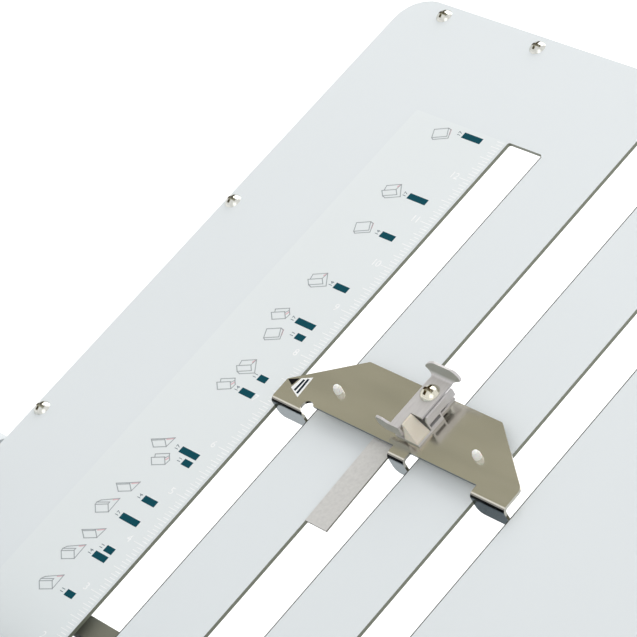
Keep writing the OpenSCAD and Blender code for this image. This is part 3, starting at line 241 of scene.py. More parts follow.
def piece(name, shape, material, body="machine", smooth=False):
    """A new object from vertices and faces: doubles merged, normals out, riding on a body."""
    verts, faces = shape
    mesh = bpy.data.meshes.new(name)
    mesh.from_pydata(verts, [], faces)
    shell = bmesh.new()
    shell.from_mesh(mesh)
    bmesh.ops.remove_doubles(shell, verts=shell.verts, dist=1e-7)
    bmesh.ops.recalc_face_normals(shell, faces=shell.faces)
    shell.to_mesh(mesh)
    shell.free()
    if smooth:
        mesh.shade_smooth()
        mesh.set_sharp_from_angle(angle=SHARP)
    mesh.materials.append(material)
    obj = bpy.data.objects.new(name, mesh)
    bpy.context.scene.collection.objects.link(obj)
    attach(obj, body)
    return obj


def several(parts):
    """Several vertex and face lists as one."""
    verts, faces, count = [], [], 0
    for part_verts, part_faces in parts:
        verts.append(part_verts)
        faces += [[i + count for i in face] for face in part_faces]
        count += len(part_verts)
    return np.concatenate(verts), faces


def slabs(plane, outlines, low, high):
    """Flat prisms: every outline of an (n, k, 2) array, laid at low and at high, with a wall between."""
    count, corners = outlines.shape[:2]
    levels = [lay(plane, outlines[..., 0], outlines[..., 1], rise) for rise in (low, high)]
    ring = np.arange(corners)
    after = np.roll(ring, -1)
    walls = np.stack([ring, after, after + corners, ring + corners], axis=1)
    start = np.arange(count)[:, None] * 2 * corners
    faces = (start + ring[::-1]).tolist() + (start + ring + corners).tolist()
    faces += (start[..., None] + walls[None]).reshape(-1, 4).tolist()
    return np.concatenate(levels, axis=1).reshape(-1, 3), faces


def pairs(across, along):
    """Places on a plane from arrays or single numbers across and along."""
    return np.stack(np.broadcast_arrays(across, along), axis=-1).astype(float)


def rectangles(left, right, near, far):
    """Corner arrays of rectangles from their four sides, which may be arrays or single numbers."""
    left, right, near, far = np.broadcast_arrays(*[np.atleast_1d(side) for side in (left, right, near, far)])
    return np.stack([pairs(left, near), pairs(right, near), pairs(right, far), pairs(left, far)], axis=1)


def strokes(lines, width):
    """Corner arrays of straight strokes: each piece of each line, widened to both sides and past its ends."""
    starts = np.concatenate([np.asarray(line, float)[:-1] for line in lines])
    ends = np.concatenate([np.asarray(line, float)[1:] for line in lines])
    way = (ends - starts) / np.linalg.norm(ends - starts, axis=1, keepdims=True) * width / 2
    side = np.stack([-way[:, 1], way[:, 0]], axis=1)
    return np.stack([starts - way - side, ends + way - side, ends + way + side, starts - way + side], axis=1)


def skin(grid, ring):
    """Faces of a grid of points whose rows are loops; ring joins last and first row, else both are closed."""
    rows, columns = grid.shape[:2]
    index = np.arange(rows * columns).reshape(rows, columns)
    ahead = np.roll(index, -1, axis=0) if ring else index[1:]
    here = index if ring else index[:-1]
    quads = np.stack([here, np.roll(here, -1, axis=1), np.roll(ahead, -1, axis=1), ahead], axis=-1)
    ends = [] if ring else [index[0, ::-1].tolist(), index[-1].tolist()]
    return grid.reshape(-1, 3), quads.reshape(-1, 4).tolist() + ends


def turned(plane, centre, profile, steps=48, ring=False):
    """A profile of radius and height turned about the plane's normal at a centre; ring joins its two ends."""
    profile = np.asarray(profile, float)
    turn = np.arange(steps) * FULL_TURN / steps
    radius, rise = profile[:, :1], profile[:, 1:]
    return skin(lay(plane, centre[0] + radius * np.cos(turn), centre[1] + radius * np.sin(turn), rise), ring)


def ribs(plane, starts, ends, width, height, steps=17, corners=9):
    """Raised bars: a half ellipse carried from start to end, falling to nothing there by a super-ellipse."""
    parts = []
    share = (1 - np.cos(np.linspace(0, math.pi, steps)))[:, None] / 2
    arc = np.linspace(0, math.pi, corners)
    for start, way in zip(starts, ends - starts):
        length = np.linalg.norm(way)
        full = np.sqrt(1 - np.abs(2 * share - 1) ** (2 * length / width))
        spread = full * np.cos(arc) * width / 2 / length
        across = start[0] + share * way[0] - spread * way[1]
        along = start[1] + share * way[1] + spread * way[0]
        parts.append(skin(lay(plane, across, along, full * np.sin(arc) * height), False))
    return several(parts)


def frame_bars(plane, wide, tall, width, height):
    """Four raised bars round a rectangle about the plane's origin."""
    corners = np.array([[-wide, -tall], [wide, -tall], [wide, tall], [-wide, tall]]) / 2
    return ribs(plane, corners, np.roll(corners, -1, axis=0), width, height)


def bar_mark(plane, centre, wide, tall, low, high):
    """A thin bar about a centre."""
    left, near = np.subtract(centre, (wide / 2, tall / 2))
    return slabs(plane, rectangles(left, left + wide, near, near + tall), low, high)


def ring_mark(plane, centre, inner, outer, low, high):
    """A thin flat ring about a centre."""
    section = [(inner, low), (inner, high), (outer, high), (outer, low)]
    return turned(plane, centre, section, steps=32, ring=True)


def pan_heads(plane, centres, radius):
    """Pan heads: a low dome whose radius is a cosine made blunter by a power, with a small flat top."""
    blunt, tall, top = 0.6, 0.5, 0.1
    angle = np.linspace(0, math.pi / 2, 7)[:-1]
    dome = pairs(radius * np.cos(angle) ** blunt, radius * tall * np.sin(angle))
    profile = np.concatenate([dome, [[radius * top, radius * tall]]])
    return several([turned(plane, centre, profile, steps=28) for centre in centres])


def crosses(plane, centres, radius):
    """The recesses of pan heads as thin dark crosses of painted shade on their tops, sized by shares of the
    head's radius.
    """
    arm, width, low, high = np.array([0.5, 0.26, 0.3, 0.52]) * radius
    lines = []
    for x, y in centres:
        lines += [[(x - arm, y), (x + arm, y)], [(x, y - arm), (x, y + arm)]]
    return slabs(plane, strokes(lines, width), low, high)


def digits(plane, words, size, thick, low, turn=0.0):
    """Plain numbers as thin solids: text made a mesh, turned by an angle and laid at each (word, place)."""
    # A font's size is about this many times the height of its digits
    font = 1.4
    parts = []
    for word, place in words:
        curve = bpy.data.curves.new("digits", "FONT")
        curve.body = word
        curve.size = size * font
        curve.align_x = "CENTER"
        curve.align_y = "CENTER"
        curve.extrude = thick / 2
        text = bpy.data.objects.new("digits", curve)
        bpy.context.scene.collection.objects.link(text)
        mesh = bpy.data.meshes.new_from_object(text.evaluated_get(bpy.context.evaluated_depsgraph_get()))
        mesh.calc_loop_triangles()
        x, y, z = rows_of(mesh.vertices, "co", 3).astype(float).T
        across = place[0] + x * math.cos(turn) - y * math.sin(turn)
        along = place[1] + x * math.sin(turn) + y * math.cos(turn)
        faces = rows_of(mesh.loop_triangles, "vertices", 3, np.int32).tolist()
        parts.append((lay(plane, across, along, low + thick / 2 + z), faces))
        bpy.data.objects.remove(text)
        bpy.data.curves.remove(curve)
        bpy.data.meshes.remove(mesh)
    return several(parts)


# Material helpers

Surface = namedtuple("Surface", "material tree shader place")
# Noise seldom leaves this range, so it is stretched from here to the full one
NOISE_LOW, NOISE_HIGH = 0.2, 0.8


def linear(colour):
    """An sRGB hex colour as linear red, green, blue and alpha."""
    srgb = [int(colour[i:i + 2], 16) / 255 for i in (1, 3, 5)]
    return [c / 12.92 if c <= 0.04045 else ((c + 0.055) / 1.055) ** 2.4 for c in srgb] + [1.0]


def shaded(colour, factor):
    """A hex colour made darker or lighter by a factor."""
    return "#" + "".join("%02X" % min(255, round(int(colour[i:i + 2], 16) * factor)) for i in (1, 3, 5))


def add(tree, kind, inputs=(), out=0, **options):
    """Add one node and give one of its outputs: options are its attributes, inputs its values and links."""
    node = tree.nodes.new(kind)
    for key, value in options.items():
        setattr(node, key, value)
    for key, value in dict(inputs).items():
        if isinstance(value, bpy.types.NodeSocket):
            tree.links.new(value, node.inputs[key])
        else:
            node.inputs[key].default_value = value
    return node.outputs[out]


def surface(name, colour, rough, metal=0.0, **sockets):
    """A new material with its shader's own sockets set, and the Object coordinates for its patterns."""
    material = bpy.data.materials.new(name)
    material.use_nodes = True
    tree = material.node_tree
    shader = tree.nodes["Principled BSDF"]
    values = {"Base Color": linear(colour), "Roughness": rough, "Metallic": metal}
    values.update({key.replace("_", " "): value for key, value in sockets.items()})
    for key, value in values.items():
        shader.inputs[key].default_value = value
    return Surface(material, tree, shader, add(tree, "ShaderNodeTexCoord", out="Object"))


def into(look, socket, output):
    """Link an output to a socket of a material's shader."""
    look.tree.links.new(output, look.shader.inputs[socket])


def noise(look, sizes, detail, tilt=0.0):
    """Noise whose patches have the given size in mm, or sizes along X, Y and Z, these axes tilted about X."""
    scale = tuple(np.broadcast_to(np.multiply(sizes, MM), 3))
    inputs = {"Vector": look.place, "Rotation": (tilt, 0.0, 0.0), "Scale": scale}
    place = add(look.tree, "ShaderNodeMapping", inputs, vector_type="TEXTURE")
    return add(look.tree, "ShaderNodeTexNoise", {"Vector": place, "Scale": 1.0, "Detail": detail}, "Fac")


def tinted(look, colour, share, tint):
    """Mix a tint over a colour by a share, into the base colour."""
    mix = add(look.tree, "ShaderNodeMix", {0: share, 6: colour, 7: linear(tint)}, 2, data_type="RGBA")
    into(look, "Base Color", mix)
    return mix


def mottle(look, light, dark, sizes, detail=1.5, tilt=0.0):
    """Base colour drifting between two colours in soft patches of the given sizes in mm."""
    fac = noise(look, sizes, detail, tilt)
    share = add(look.tree, "ShaderNodeMapRange", {0: fac, 1: NOISE_LOW, 2: NOISE_HIGH})
    return tinted(look, linear(light), share, dark)


def gloss_drift(look, low, high, sizes, tilt=0.0):
    """Roughness drifting between two values in patches of the given sizes in mm."""
    fac = noise(look, sizes, 2.0, tilt)
    rough = add(look.tree, "ShaderNodeMapRange", {0: fac, 1: NOISE_LOW, 2: NOISE_HIGH, 3: low, 4: high})
    into(look, "Roughness", rough)


def grain(look, sizes, depth, detail=2.0, tilt=0.0):
    """Surface bumps of the given sizes and depth in mm."""
    fac = noise(look, sizes, detail, tilt)
    bump = add(look.tree, "ShaderNodeBump", {"Height": fac, "Strength": 1.0, "Distance": depth * MM})
    into(look, "Normal", bump)


def facing(look, direction, low, high, both=False):
    """A share from 0 to 1 as a surface turns towards a fixed direction of the part or, with both, away."""
    normal = add(look.tree, "ShaderNodeNewGeometry", out="Normal")
    dot = add(look.tree, "ShaderNodeVectorMath", {0: normal, 1: tuple(direction)}, "Value",
              operation="DOT_PRODUCT")
    if both:
        dot = add(look.tree, "ShaderNodeMath", {0: dot}, operation="ABSOLUTE")
    return add(look.tree, "ShaderNodeMapRange", {0: dot, 1: low, 2: high})


def seen_rays(tree):
    """The light path's outputs, and a share of 1 for rays from the eye, from mirrors and through glass."""
    rays = add(tree, "ShaderNodeLightPath").node.outputs
    seen = add(tree, "ShaderNodeMath", {0: rays["Is Camera Ray"], 1: rays["Is Glossy Ray"]},
               operation="MAXIMUM")
    return rays, add(tree, "ShaderNodeMath", {0: seen, 1: rays["Is Transmission Ray"]}, operation="MAXIMUM")


# Finishes

def powder_coat(name, colour, edge, plane, half, far):
    """Powder-coated sheet steel whose slot walls are tinted dark olive as painted shade."""
    # Cured powder is matt with a faint orange peel, drawn at 3 mm so that it shows; edge is the olive colour
    # of the slot walls' painted shade.
    # Slots lie within half from the plane's middle and nearer than far, in mm.
    look = surface(name, colour, 0.5)
    paint = mottle(look, colour, shaded(colour, 0.985), 260)
    gloss_drift(look, 0.46, 0.54, 60)
    grain(look, 3, 0.002)
    # Painted shade: faces turned away from the plane's normal, within the slots' area, are tinted olive
    edge_shade = facing(look, plane.above, 0.6, 0.3, both=True)
    place = add(look.tree, "ShaderNodeVectorMath", {0: look.place, 1: tuple(plane.origin)},
                operation="SUBTRACT")
    for axis, limit in ((plane.across, half), (plane.along, far)):
        away = add(look.tree, "ShaderNodeVectorMath", {0: place, 1: tuple(axis)}, "Value",
                   operation="DOT_PRODUCT")
        away = add(look.tree, "ShaderNodeMath", {0: away}, operation="ABSOLUTE")
        inside = add(look.tree, "ShaderNodeMath", {0: away, 1: limit * MM}, operation="LESS_THAN")
        edge_shade = add(look.tree, "ShaderNodeMath", {0: edge_shade, 1: inside}, operation="MULTIPLY")
    tinted(look, paint, edge_shade, edge)
    return look.material


@cache
def painted_panel(name, colour):
    """Powder-coated panel, folded before coating, painted all round."""
    # Satin paint with a faint orange peel; the flat panels show it as slow waves of gloss.
    look = surface(name, colour, 0.36)
    mottle(look, colour, shaded(colour, 0.98), 240)
    gloss_drift(look, 0.33, 0.4, 50)
    grain(look, 3, 0.003)
    return look.material


@cache
def moulded_abs(name, colour, rough=0.45):
    """Injection-moulded ABS with a spark-eroded texture."""
    # The mould's fine pebble scatters the highlight; it is drawn at 1 mm so that it shows.
    look = surface(name, colour, rough)
    mottle(look, shaded(colour, 1.01), shaded(colour, 0.975), 200)
    gloss_drift(look, rough - 0.04, rough + 0.06, 30)
    grain(look, 1, 0.008, 3.0)
    return look.material


@cache
def polished_stop_steel(name, colour):
    """Polished stainless sheet, bent: a soft mirror with long faint polishing lines."""
    # Lying flat it mirrors the room's dim corner; a bend's outside is painted black and a finger's face
    # blue-grey, as painted reflections.
    look = surface(name, colour, 0.2, 1.0)
    steel = mottle(look, shaded(colour, 1.03), shaded(colour, 0.95), (50, 12, 12), tilt=SHEET_TILT)
    gloss_drift(look, 0.16, 0.24, (40, 3, 40), SHEET_TILT)
    # Painted reflections: black on the bends' outsides and blue-grey on the fingers' faces, picked by their
    # normals
    bend = facing(look, -SHEET.along, 0.45, 0.7)
    face = facing(look, -SHEET.along, 0.95, 0.99)
    tinted(look, tinted(look, steel, bend, "#101214"), face, "#586469")
    return look.material


@cache
def tumbled_nickel(name, colour, sizes, dark, shaded_faces):
    """Steel tumbled with stones and nickel plated: tiny dents make it nearly matt, with a metal sheen."""
    # Much of its light is scattered as from a matt face; the dents are drawn at sizes in mm that show.
    # Painted shade darkens sheared edges and faces turned away from the light; the last argument says which
    # faces, as for facing().
    look = surface(name, colour, 0.4, 0.35)
    plate = mottle(look, shaded(colour, 1.03), shaded(colour, 0.95), sizes, 3.0, SHEET_TILT)
    gloss_drift(look, 0.34, 0.46, sizes, SHEET_TILT)
    grain(look, sizes, 0.002, 2.0, SHEET_TILT)
    # Painted shade: the faces picked by the last argument are tinted dark
    tinted(look, plate, facing(look, *shaded_faces), dark)
    return look.material


@cache
def screw_steel(name, colour, painted_shade, above):
    """Nickel-plated screws."""
    # Heads are bright; faces that don't look up, in the recess and round the head, get a brownish painted
    # shade.
    look = surface(name, colour, 0.2, 1.0)
    plate = mottle(look, shaded(colour, 1.03), shaded(colour, 0.92), 1.5, 2.0)
    gloss_drift(look, 0.14, 0.26, 2)
    # Painted shade: faces turned away from the given normal are tinted with the shade colour
    lit = facing(look, above, 0.1, 0.45)
    shade_share = add(look.tree, "ShaderNodeMath", {0: 1.0, 1: lit}, operation="SUBTRACT")
    tinted(look, plate, shade_share, painted_shade)
    return look.material


@cache
def zinc_plate(name, colour):
    """Bright zinc plate on steel."""
    # Pale, a little blue, cloudy from the bath.
    look = surface(name, colour, 0.38, 1.0)
    mottle(look, colour, shaded(colour, 0.93), 14, 3.0)
    gloss_drift(look, 0.34, 0.46, 9)
    return look.material


@cache
def dark_moulding(name, colour):
    """Moulded glass-filled nylon."""
    # A fine matt grain with a weak sheen on its edges.
    look = surface(name, colour, 0.48)
    mottle(look, shaded(colour, 1.1), shaded(colour, 0.92), 8, 4.0)
    gloss_drift(look, 0.44, 0.56, 6)
    grain(look, 0.8, 0.01, 3.0)
    return look.material


@cache
def acetal(name, colour, rough=0.32):
    """Moulded acetal."""
    # Waxy: a little light passes under its skin.
    look = surface(name, colour, rough, Subsurface_Weight=0.1, Subsurface_Scale=0.001)
    mottle(look, colour, shaded(colour, 0.96), 6)
    gloss_drift(look, rough - 0.05, rough + 0.07, 4)
    return look.material


@cache
def soft_metal(name, colour, rough):
    """Bronze or brass."""
    # Sintered bushes are dull and specked, cut brass is brighter.
    look = surface(name, colour, rough, 1.0)
    mottle(look, shaded(colour, 1.05), shaded(colour, 0.85), 1.5, 3.0)
    gloss_drift(look, rough - 0.08, rough + 0.1, 3)
    return look.material


@cache
def rubber(name, colour, rough=0.75):
    """Moulded rubber."""
    # Near black, dusty, without a clear highlight.
    look = surface(name, colour, rough)
    mottle(look, shaded(colour, 1.25), shaded(colour, 0.85), 5, 4.0)
    gloss_drift(look, rough - 0.1, rough + 0.1, 8)
    grain(look, 1.2, 0.02, 3.0)
    return look.material


@cache
def roller_finish(name, axis_joint, rubber_radius):
    """Ground rubber on a steel shaft: bare steel lies near the axis, rubber outside it."""
    # Grinding leaves fine rings round the roller, drawn 1.5 mm apart so that they show.
    rings = (1.5, 60, 60)
    rubber_depth = 2.5 * MM
    look = surface(name, "#3A4048", 0.6)
    coat = mottle(look, "#434A53", "#363C44", rings, 2.0)
    centred = add(look.tree, "ShaderNodeVectorMath", {0: look.place, 1: tuple(joint_point(axis_joint))},
                  operation="SUBTRACT")
    across = add(look.tree, "ShaderNodeVectorMath", {0: centred, 1: (0.0, 1.0, 1.0)}, operation="MULTIPLY")
    radius = add(look.tree, "ShaderNodeVectorMath", {0: across}, "Value", operation="LENGTH")
    shaft = add(look.tree, "ShaderNodeMath", {0: radius, 1: rubber_radius - rubber_depth},
                operation="LESS_THAN")
    tinted(look, coat, shaft, "#B9BDBF")
    into(look, "Metallic", shaft)
    into(look, "Roughness", add(look.tree, "ShaderNodeMapRange", {0: shaft, 3: 0.62, 4: 0.3}))
    grain(look, rings, 0.008)
    return look.material


@cache
def cork_rubber(name):
    """Pressed cork in rubber."""
    # Brown with pale and dark crumbs of 1 to 2 mm.
    look = surface(name, "#8C5A3C", 0.85)
    mottle(look, "#A8744E", "#5A3824", 1.6, 3.0)
    grain(look, 1.6, 0.1)
    return look.material


@cache
def screen_ink(name, colour):
    """Screen-printed ink."""
    # Matt and thin, a little uneven where the mesh let less through.
    look = surface(name, colour, 0.6, Specular_IOR_Level=0.05)
    mottle(look, shaded(colour, 1.03), shaded(colour, 0.96), 1.4)
    gloss_drift(look, 0.55, 0.65, 3)
    return look.material


def white_ink():
    """The white print of the scale, the knob, the buttons and the switch."""
    return screen_ink("white_screen_ink", settings().prints.scale_colour)


@cache
def polyester_film(name, colour):
    """Matt polyester film glued to a panel."""
    # Smooth, with faint ripples.
    look = surface(name, colour, 0.36)
    mottle(look, colour, shaded(colour, 0.992), 90)
    gloss_drift(look, 0.33, 0.39, 30)
    grain(look, 15, 0.004)
    return look.material


def dress(material, *nodes, edge=0.0):
    """Give CAD nodes a finish and, where edge is set, a rounding of that many millimetres on sharp edges."""
    for name in nodes:
        node = frame["nodes"][name]
        for held in node.material_slots:
            held.material = material
        if edge:
            joined = node.modifiers.new("joined", "WELD")
            joined.merge_threshold = 0.005 * MM
            rounded = node.modifiers.new("rounded", "BEVEL")
            rounded.width = edge * MM
            rounded.segments = 2
            rounded.limit_method = "ANGLE"
            rounded.angle_limit = SHARP
            rounded.harden_normals = True


# Operators

def floor(scene):
    """A large square at the feet, white to the eye, with the machine's shadow on it."""
    half = 6.0
    lift = 0.38
    mesh = bpy.data.meshes.new("floor")
    mesh.from_pydata(half * np.array([[-1, -1, 0], [1, -1, 0], [1, 1, 0], [-1, 1, 0]]), [], [[0, 1, 2, 3]])
    # Paper fibres give a weak tooth; what the eye and mirrors see is lifted to white where no shadow lies.
    look = surface("matt_white_backdrop_paper", "#F4F4F4", 0.95, Emission_Color=linear("#FFFFFF"))
    grain(look, 3, 0.02)
    seen = seen_rays(look.tree)[1]
    lifted = add(look.tree, "ShaderNodeMath", {0: seen, 1: lift}, operation="MULTIPLY")
    into(look, "Emission Strength", lifted)
    mesh.materials.append(look.material)
    obj = bpy.data.objects.new("floor", mesh)
    scene.collection.objects.link(obj)


def sky(scene, stage, eye):
    """Even white light from all round; mirrors see one dim corner of the room, which the stop reflects."""
    # Cosines of the angles from the corner's middle where it begins and where it is full
    outer, inner = 0.84, 0.94
    sight = lay(SHEET, 0.0, reach(SHEET, "stop_plate")[1], 0.0) - eye
    sight = sight / np.linalg.norm(sight)
    mirrored = sight - 2 * (sight @ SHEET.above) * SHEET.above
    world = bpy.data.worlds.new("studio")
    world.use_nodes = True
    tree = world.node_tree
    rays, seen = seen_rays(tree)
    way = add(tree, "ShaderNodeTexCoord", out="Generated")
    near = add(tree, "ShaderNodeVectorMath", {0: way, 1: tuple(mirrored)}, "Value", operation="DOT_PRODUCT")
    dim = add(tree, "ShaderNodeMapRange", {0: near, 1: outer, 2: inner})
    dim = add(tree, "ShaderNodeMath", {0: dim, 1: rays["Is Glossy Ray"]}, operation="MULTIPLY")
    colour = add(tree, "ShaderNodeMix", {0: dim, 6: linear("#FFFFFF"), 7: linear(stage.corner)}, 2,
                 data_type="RGBA")
    strength = add(tree, "ShaderNodeMix", {0: seen, 2: stage.sky, 3: 1.0})
    light = tree.nodes["Background"].inputs
    tree.links.new(colour, light["Color"])
    tree.links.new(strength, light["Strength"])
    scene.world = world


def lamp(scene, name, place, aim, size, power):
    """A square soft light that looks at a point."""
    light = bpy.data.lights.new(name, "AREA")
    light.shape = "SQUARE"
    light.size = size
    light.energy = power
    obj = bpy.data.objects.new(name, light)
    obj.location = place
    obj.rotation_euler = (Vector(aim) - Vector(place)).to_track_quat("-Z", "Y").to_euler()
    scene.collection.objects.link(obj)


class FOLDING_OT_stage(bpy.types.Operator):
    """Set the white floor, the soft light and the camera of the photograph"""
    bl_idname = "folding.stage"
    bl_label = "Stage"

    def execute(self, context):
        stage = settings().stage
        scene = context.scene
        scene.view_settings.view_transform = "Standard"
        place, aim = [lay(SHEET, *(np.array(spot) / MM)) for spot in (stage.camera_place, stage.camera_aim)]
        floor(scene)
        sky(scene, stage, place)
        # The lamps' places and widths are in metres; both look at the upper plate, halfway along it in mm.
        halfway = 190.0
        middle = lay(SHEET, 0.0, halfway, 0.0)
        lamp(scene, "key_light", (-0.5, 1.2, 1.9), middle, 1.6, stage.key_power)
        lamp(scene, "fill_light", (1.4, -1.3, 1.3), middle, 1.4, stage.fill_power)
        camera = bpy.data.objects.new("camera", bpy.data.cameras.new("camera"))
        scene.collection.objects.link(camera)
        camera.data.sensor_width = 36.0
        camera.data.lens = stage.lens
        camera.data.clip_start = 0.05
        camera.location = place
        camera.rotation_euler = Vector(aim - place).to_track_quat("-Z", "Y").to_euler()
        scene.camera = camera
        return {"FINISHED"}


class FOLDING_OT_case(bpy.types.Operator):
    """Finish the covers, the lid, the base and the side frames"""
    bl_idname = "folding.case"
    bl_label = "Case"

    def execute(self, context):
        finish = settings().finish
        dress(moulded_abs("spark_eroded_abs", finish.case), "cover_left", "cover_right", edge=1.2)
        dress(moulded_abs("spark_eroded_lid_abs", finish.second), "top_cover", edge=1.2)
        zinc = zinc_plate("zinc_plated_steel", "#C2C6C8")
        dress(zinc, "base_plate", "frame_left", "frame_right", "frame_rods")
        dress(rubber("moulded_rubber", "#26282A"), "rubber_feet")
        return {"FINISHED"}


class FOLDING_OT_drive(bpy.types.Operator):
    """Finish the rollers, bushes, gears, motor and hand knob"""
    bl_idname = "folding.drive"
    bl_label = "Rollers and drive"

    def execute(self, context):
        for name in ("roller_1", "roller_2", "roller_3", "roller_4", "feed_roller", "delivery_roller"):
            axis = joint_point(name + "_turn")
            radius = np.linalg.norm((points(name) - axis)[:, 1:], axis=1).max()
            dress(roller_finish("ground_rubber_on_steel_" + name, name + "_turn", radius), name)
        gears = ["roller_gear_%d" % k for k in (1, 2, 3, 4)]
        gears += ["feed_gear", "feed_idler", "delivery_gear", "delivery_idler", "drive_gear", "guide_pinion"]
        dress(acetal("moulded_gear_acetal", "#E8E2D0", 0.4), *gears)
        dress(soft_metal("sintered_bronze", "#B08D57", 0.5), "bearings")
        dress(soft_metal("cut_brass", "#C9A24A", 0.3), "motor_pinion")
        dress(dark_moulding("glass_filled_nylon", settings().finish.dark), "motor", "hand_knob", edge=0.6)
        return {"FINISHED"}


def rims(ordinal, plane, node, half):
    """A thin dark strip along one long edge of each slot: painted shade of the sheet's rounded edge."""
    wide = 0.45
    thick = 0.02
    shortest = 100.0
    edges, near, far = long_edges(plane, node, shortest)
    inner = np.abs(edges) < half
    edge, first = np.unique(edges[inner].round(3), return_index=True)
    near, far = near[inner][first], far[inner][first]
    # Counted from the left, every second edge is the right-hand one of a slot.
    shaded_edge = slice(1, None, 2)
    strips = rectangles(edge[shaded_edge], edge[shaded_edge] + wide, near[shaded_edge], far[shaded_edge])
    # Painted shade, laid as a thin ink strip on the sheet
    edge_shade = screen_ink("painted_edge_shade_" + ordinal, settings().finish.rim)
    piece("slot_rims_" + ordinal, slabs(plane, strips, 0.0, thick), edge_shade)


class FOLDING_OT_fold_plates(bpy.types.Operator):
    """Finish both fold plates with their rails, bars and screws"""
    bl_idname = "folding.fold_plates"
    bl_label = "Fold plates"

    def execute(self, context):
        finish = settings().finish
        # Slots lie this near to the plates' middle and end this far before the far edge, in mm.
        half = 100.0
        margin = 5.0
        for plane, ordinal, nodes in ((SHEET, "first", ("upper_sheet", "lower_sheet")),
                                      (SECOND, "second", ("second_upper_sheet", "second_lower_sheet"))):
            far = reach(plane, nodes[0])[1] - margin
            paint = powder_coat("powder_coat_" + ordinal, finish.sheet, finish.cut_edge, plane, half, far)
            dress(paint, *nodes)
            # Painted shade along one edge of each slot
            rims(ordinal, plane, nodes[0], half)
        dress(zinc_plate("zinc_plated_rail", "#C4C8C9"), "side_rails", "end_bar", "second_rails")
        dress(painted_panel("olive_grey_enamel", "#7E7E70"), "cross_bar")
        dress(screw_steel("nickel_plated_screw", "#D8D8D2", "#77705C", tuple(SHEET.above)), "plate_screws")
        return {"FINISHED"}


def spring(zinc):
    """The clamp spring as a round wire carried along a helix."""
    wire = 0.9
    turns = 3.5
    steps, sides = 90, 10
    # The coil's radius and height are those of the CAD spring's box
    cloud = measured(SHEET, points("clamp_spring"))
    low, high = cloud.min(axis=0), cloud.max(axis=0)
    middle = (low + high) / 2
    radius = ((high - low)[:2].min() - wire) / 2
    share = np.linspace(0.0, 1.0, steps)[:, None]
    turn = share * turns * FULL_TURN
    round_wire = np.arange(sides) * FULL_TURN / sides
    out = radius + wire / 2 * np.cos(round_wire)
    rise = low[2] + wire / 2 + share * (high[2] - low[2] - wire) + wire / 2 * np.sin(round_wire)
    grid = lay(SHEET, middle[0] + out * np.cos(turn), middle[1] + out * np.sin(turn), rise)
    coil = piece("clamp_coil", skin(grid, False), zinc, "paper_stop", smooth=True)
    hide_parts("clamp_spring")
    foot = lay(SHEET, *middle[:2], low[2])
    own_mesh(coil)


class FOLDING_OT_paper_stops(bpy.types.Operator):
    """Finish both paper stops, the tongue, the studs and the clamp"""
    bl_idname = "folding.paper_stops"
    bl_label = "Paper stops"

    def execute(self, context):
        finish = settings().finish
        dress(polished_stop_steel("polished_bent_steel", finish.stop), "stop_plate", "second_stop")
        # Painted shade on the tongue's sheared side walls
        shaded_walls = (tuple(SHEET.above), 0.5, 0.3, True)
        dress(tumbled_nickel("tumbled_nickel_tongue", finish.tongue, 1.6, "#6E6B62", shaded_walls), "guide_tongue")
        # Painted shade on the clamp's faces that turn towards the rollers, away from the key light
        near = (tuple(-SHEET.along), 0.45, 0.85)
        clamp = tumbled_nickel("brushed_nickel_clamp", finish.clamp, (1.2, 7, 1.2), "#A3A49C", near)
        dress(clamp, "clamp_bracket", "clamp_lever", edge=0.15)
        screw = screw_steel("nickel_plated_clamp_screw", "#DEDACB", "#5E4C2C", tuple(SHEET.above))
        dress(screw, "clamp_screw")
        zinc = zinc_plate("zinc_plated_pin", "#B4B4B0")
        dress(zinc, "clamp_pin")
        spring(zinc)
        dress(acetal("ivory_acetal", finish.ivory), "pivot_block", edge=0.3)
        dress(acetal("white_nylon", "#F4F4F0"), "glide_studs")
        dress(dark_moulding("shoe_nylon", "#3B3F42"), "slide_shoe", "second_shoe")
        dress(dark_moulding("knob_nylon", finish.dark), "second_knob", edge=0.6)
        return {"FINISHED"}


# Folds: the share of a sheet's length where the plate stops it, and its figure's lines and crease, in mm to
# the right and upwards in an oblique view
FOLDS = (
    (3 / 4, [[(0.0, 1.4), (1.8, 6.4), (8.4, 6.4), (7.0, 1.4), (0.0, 1.4)],
             [(0.0, 1.4), (0.4, 0.2), (7.4, 0.2), (9.4, 5.2), (8.4, 6.4)]], [(8.3, 2.4), (9.4, 5.2)]),
    (2 / 3, [[(0.0, 1.6), (0.0, 4.8), (6.6, 4.8), (6.6, 1.6), (0.0, 1.6)],
             [(1.0, 4.8), (2.6, 7.6), (9.4, 7.6), (6.6, 4.8)],
             [(0.0, 1.6), (1.0, 0.2), (8.0, 0.2), (9.4, 7.6)]], [(7.6, 6.4), (9.2, 7.4)]),
    (1 / 2, [[(0.0, 0.0), (6.2, 0.0), (6.2, 4.0), (0.0, 4.0), (0.0, 0.0)],
             [(1.6, 4.0), (2.0, 5.8), (8.6, 5.8), (8.4, 4.6), (6.2, 3.4)],
             [(6.2, 0.0), (8.4, 2.2), (8.4, 4.6)]], [(6.8, 2.6), (8.2, 3.6)]),
    (1 / 3, [[(0.8, 0.0), (6.8, 0.0), (6.2, 4.4), (0.0, 4.4), (0.8, 0.0)],
             [(6.8, 0.0), (11.2, 4.6), (6.2, 4.4)], [(0.4, 3.8), (6.0, 3.8)]], [(7.4, 4.0), (10.8, 4.3)]),
    (1 / 4, [[(0.0, 0.0), (6.0, 0.0), (6.0, 4.2), (0.0, 4.2), (0.0, 0.0)],
             [(0.0, 4.2), (0.8, 5.4), (2.8, 6.4), (11.6, 7.0), (6.0, 0.0)],
             [(0.8, 5.4), (6.8, 5.2), (6.0, 4.2)]], [(8.6, 6.4), (11.2, 6.7)]),
)
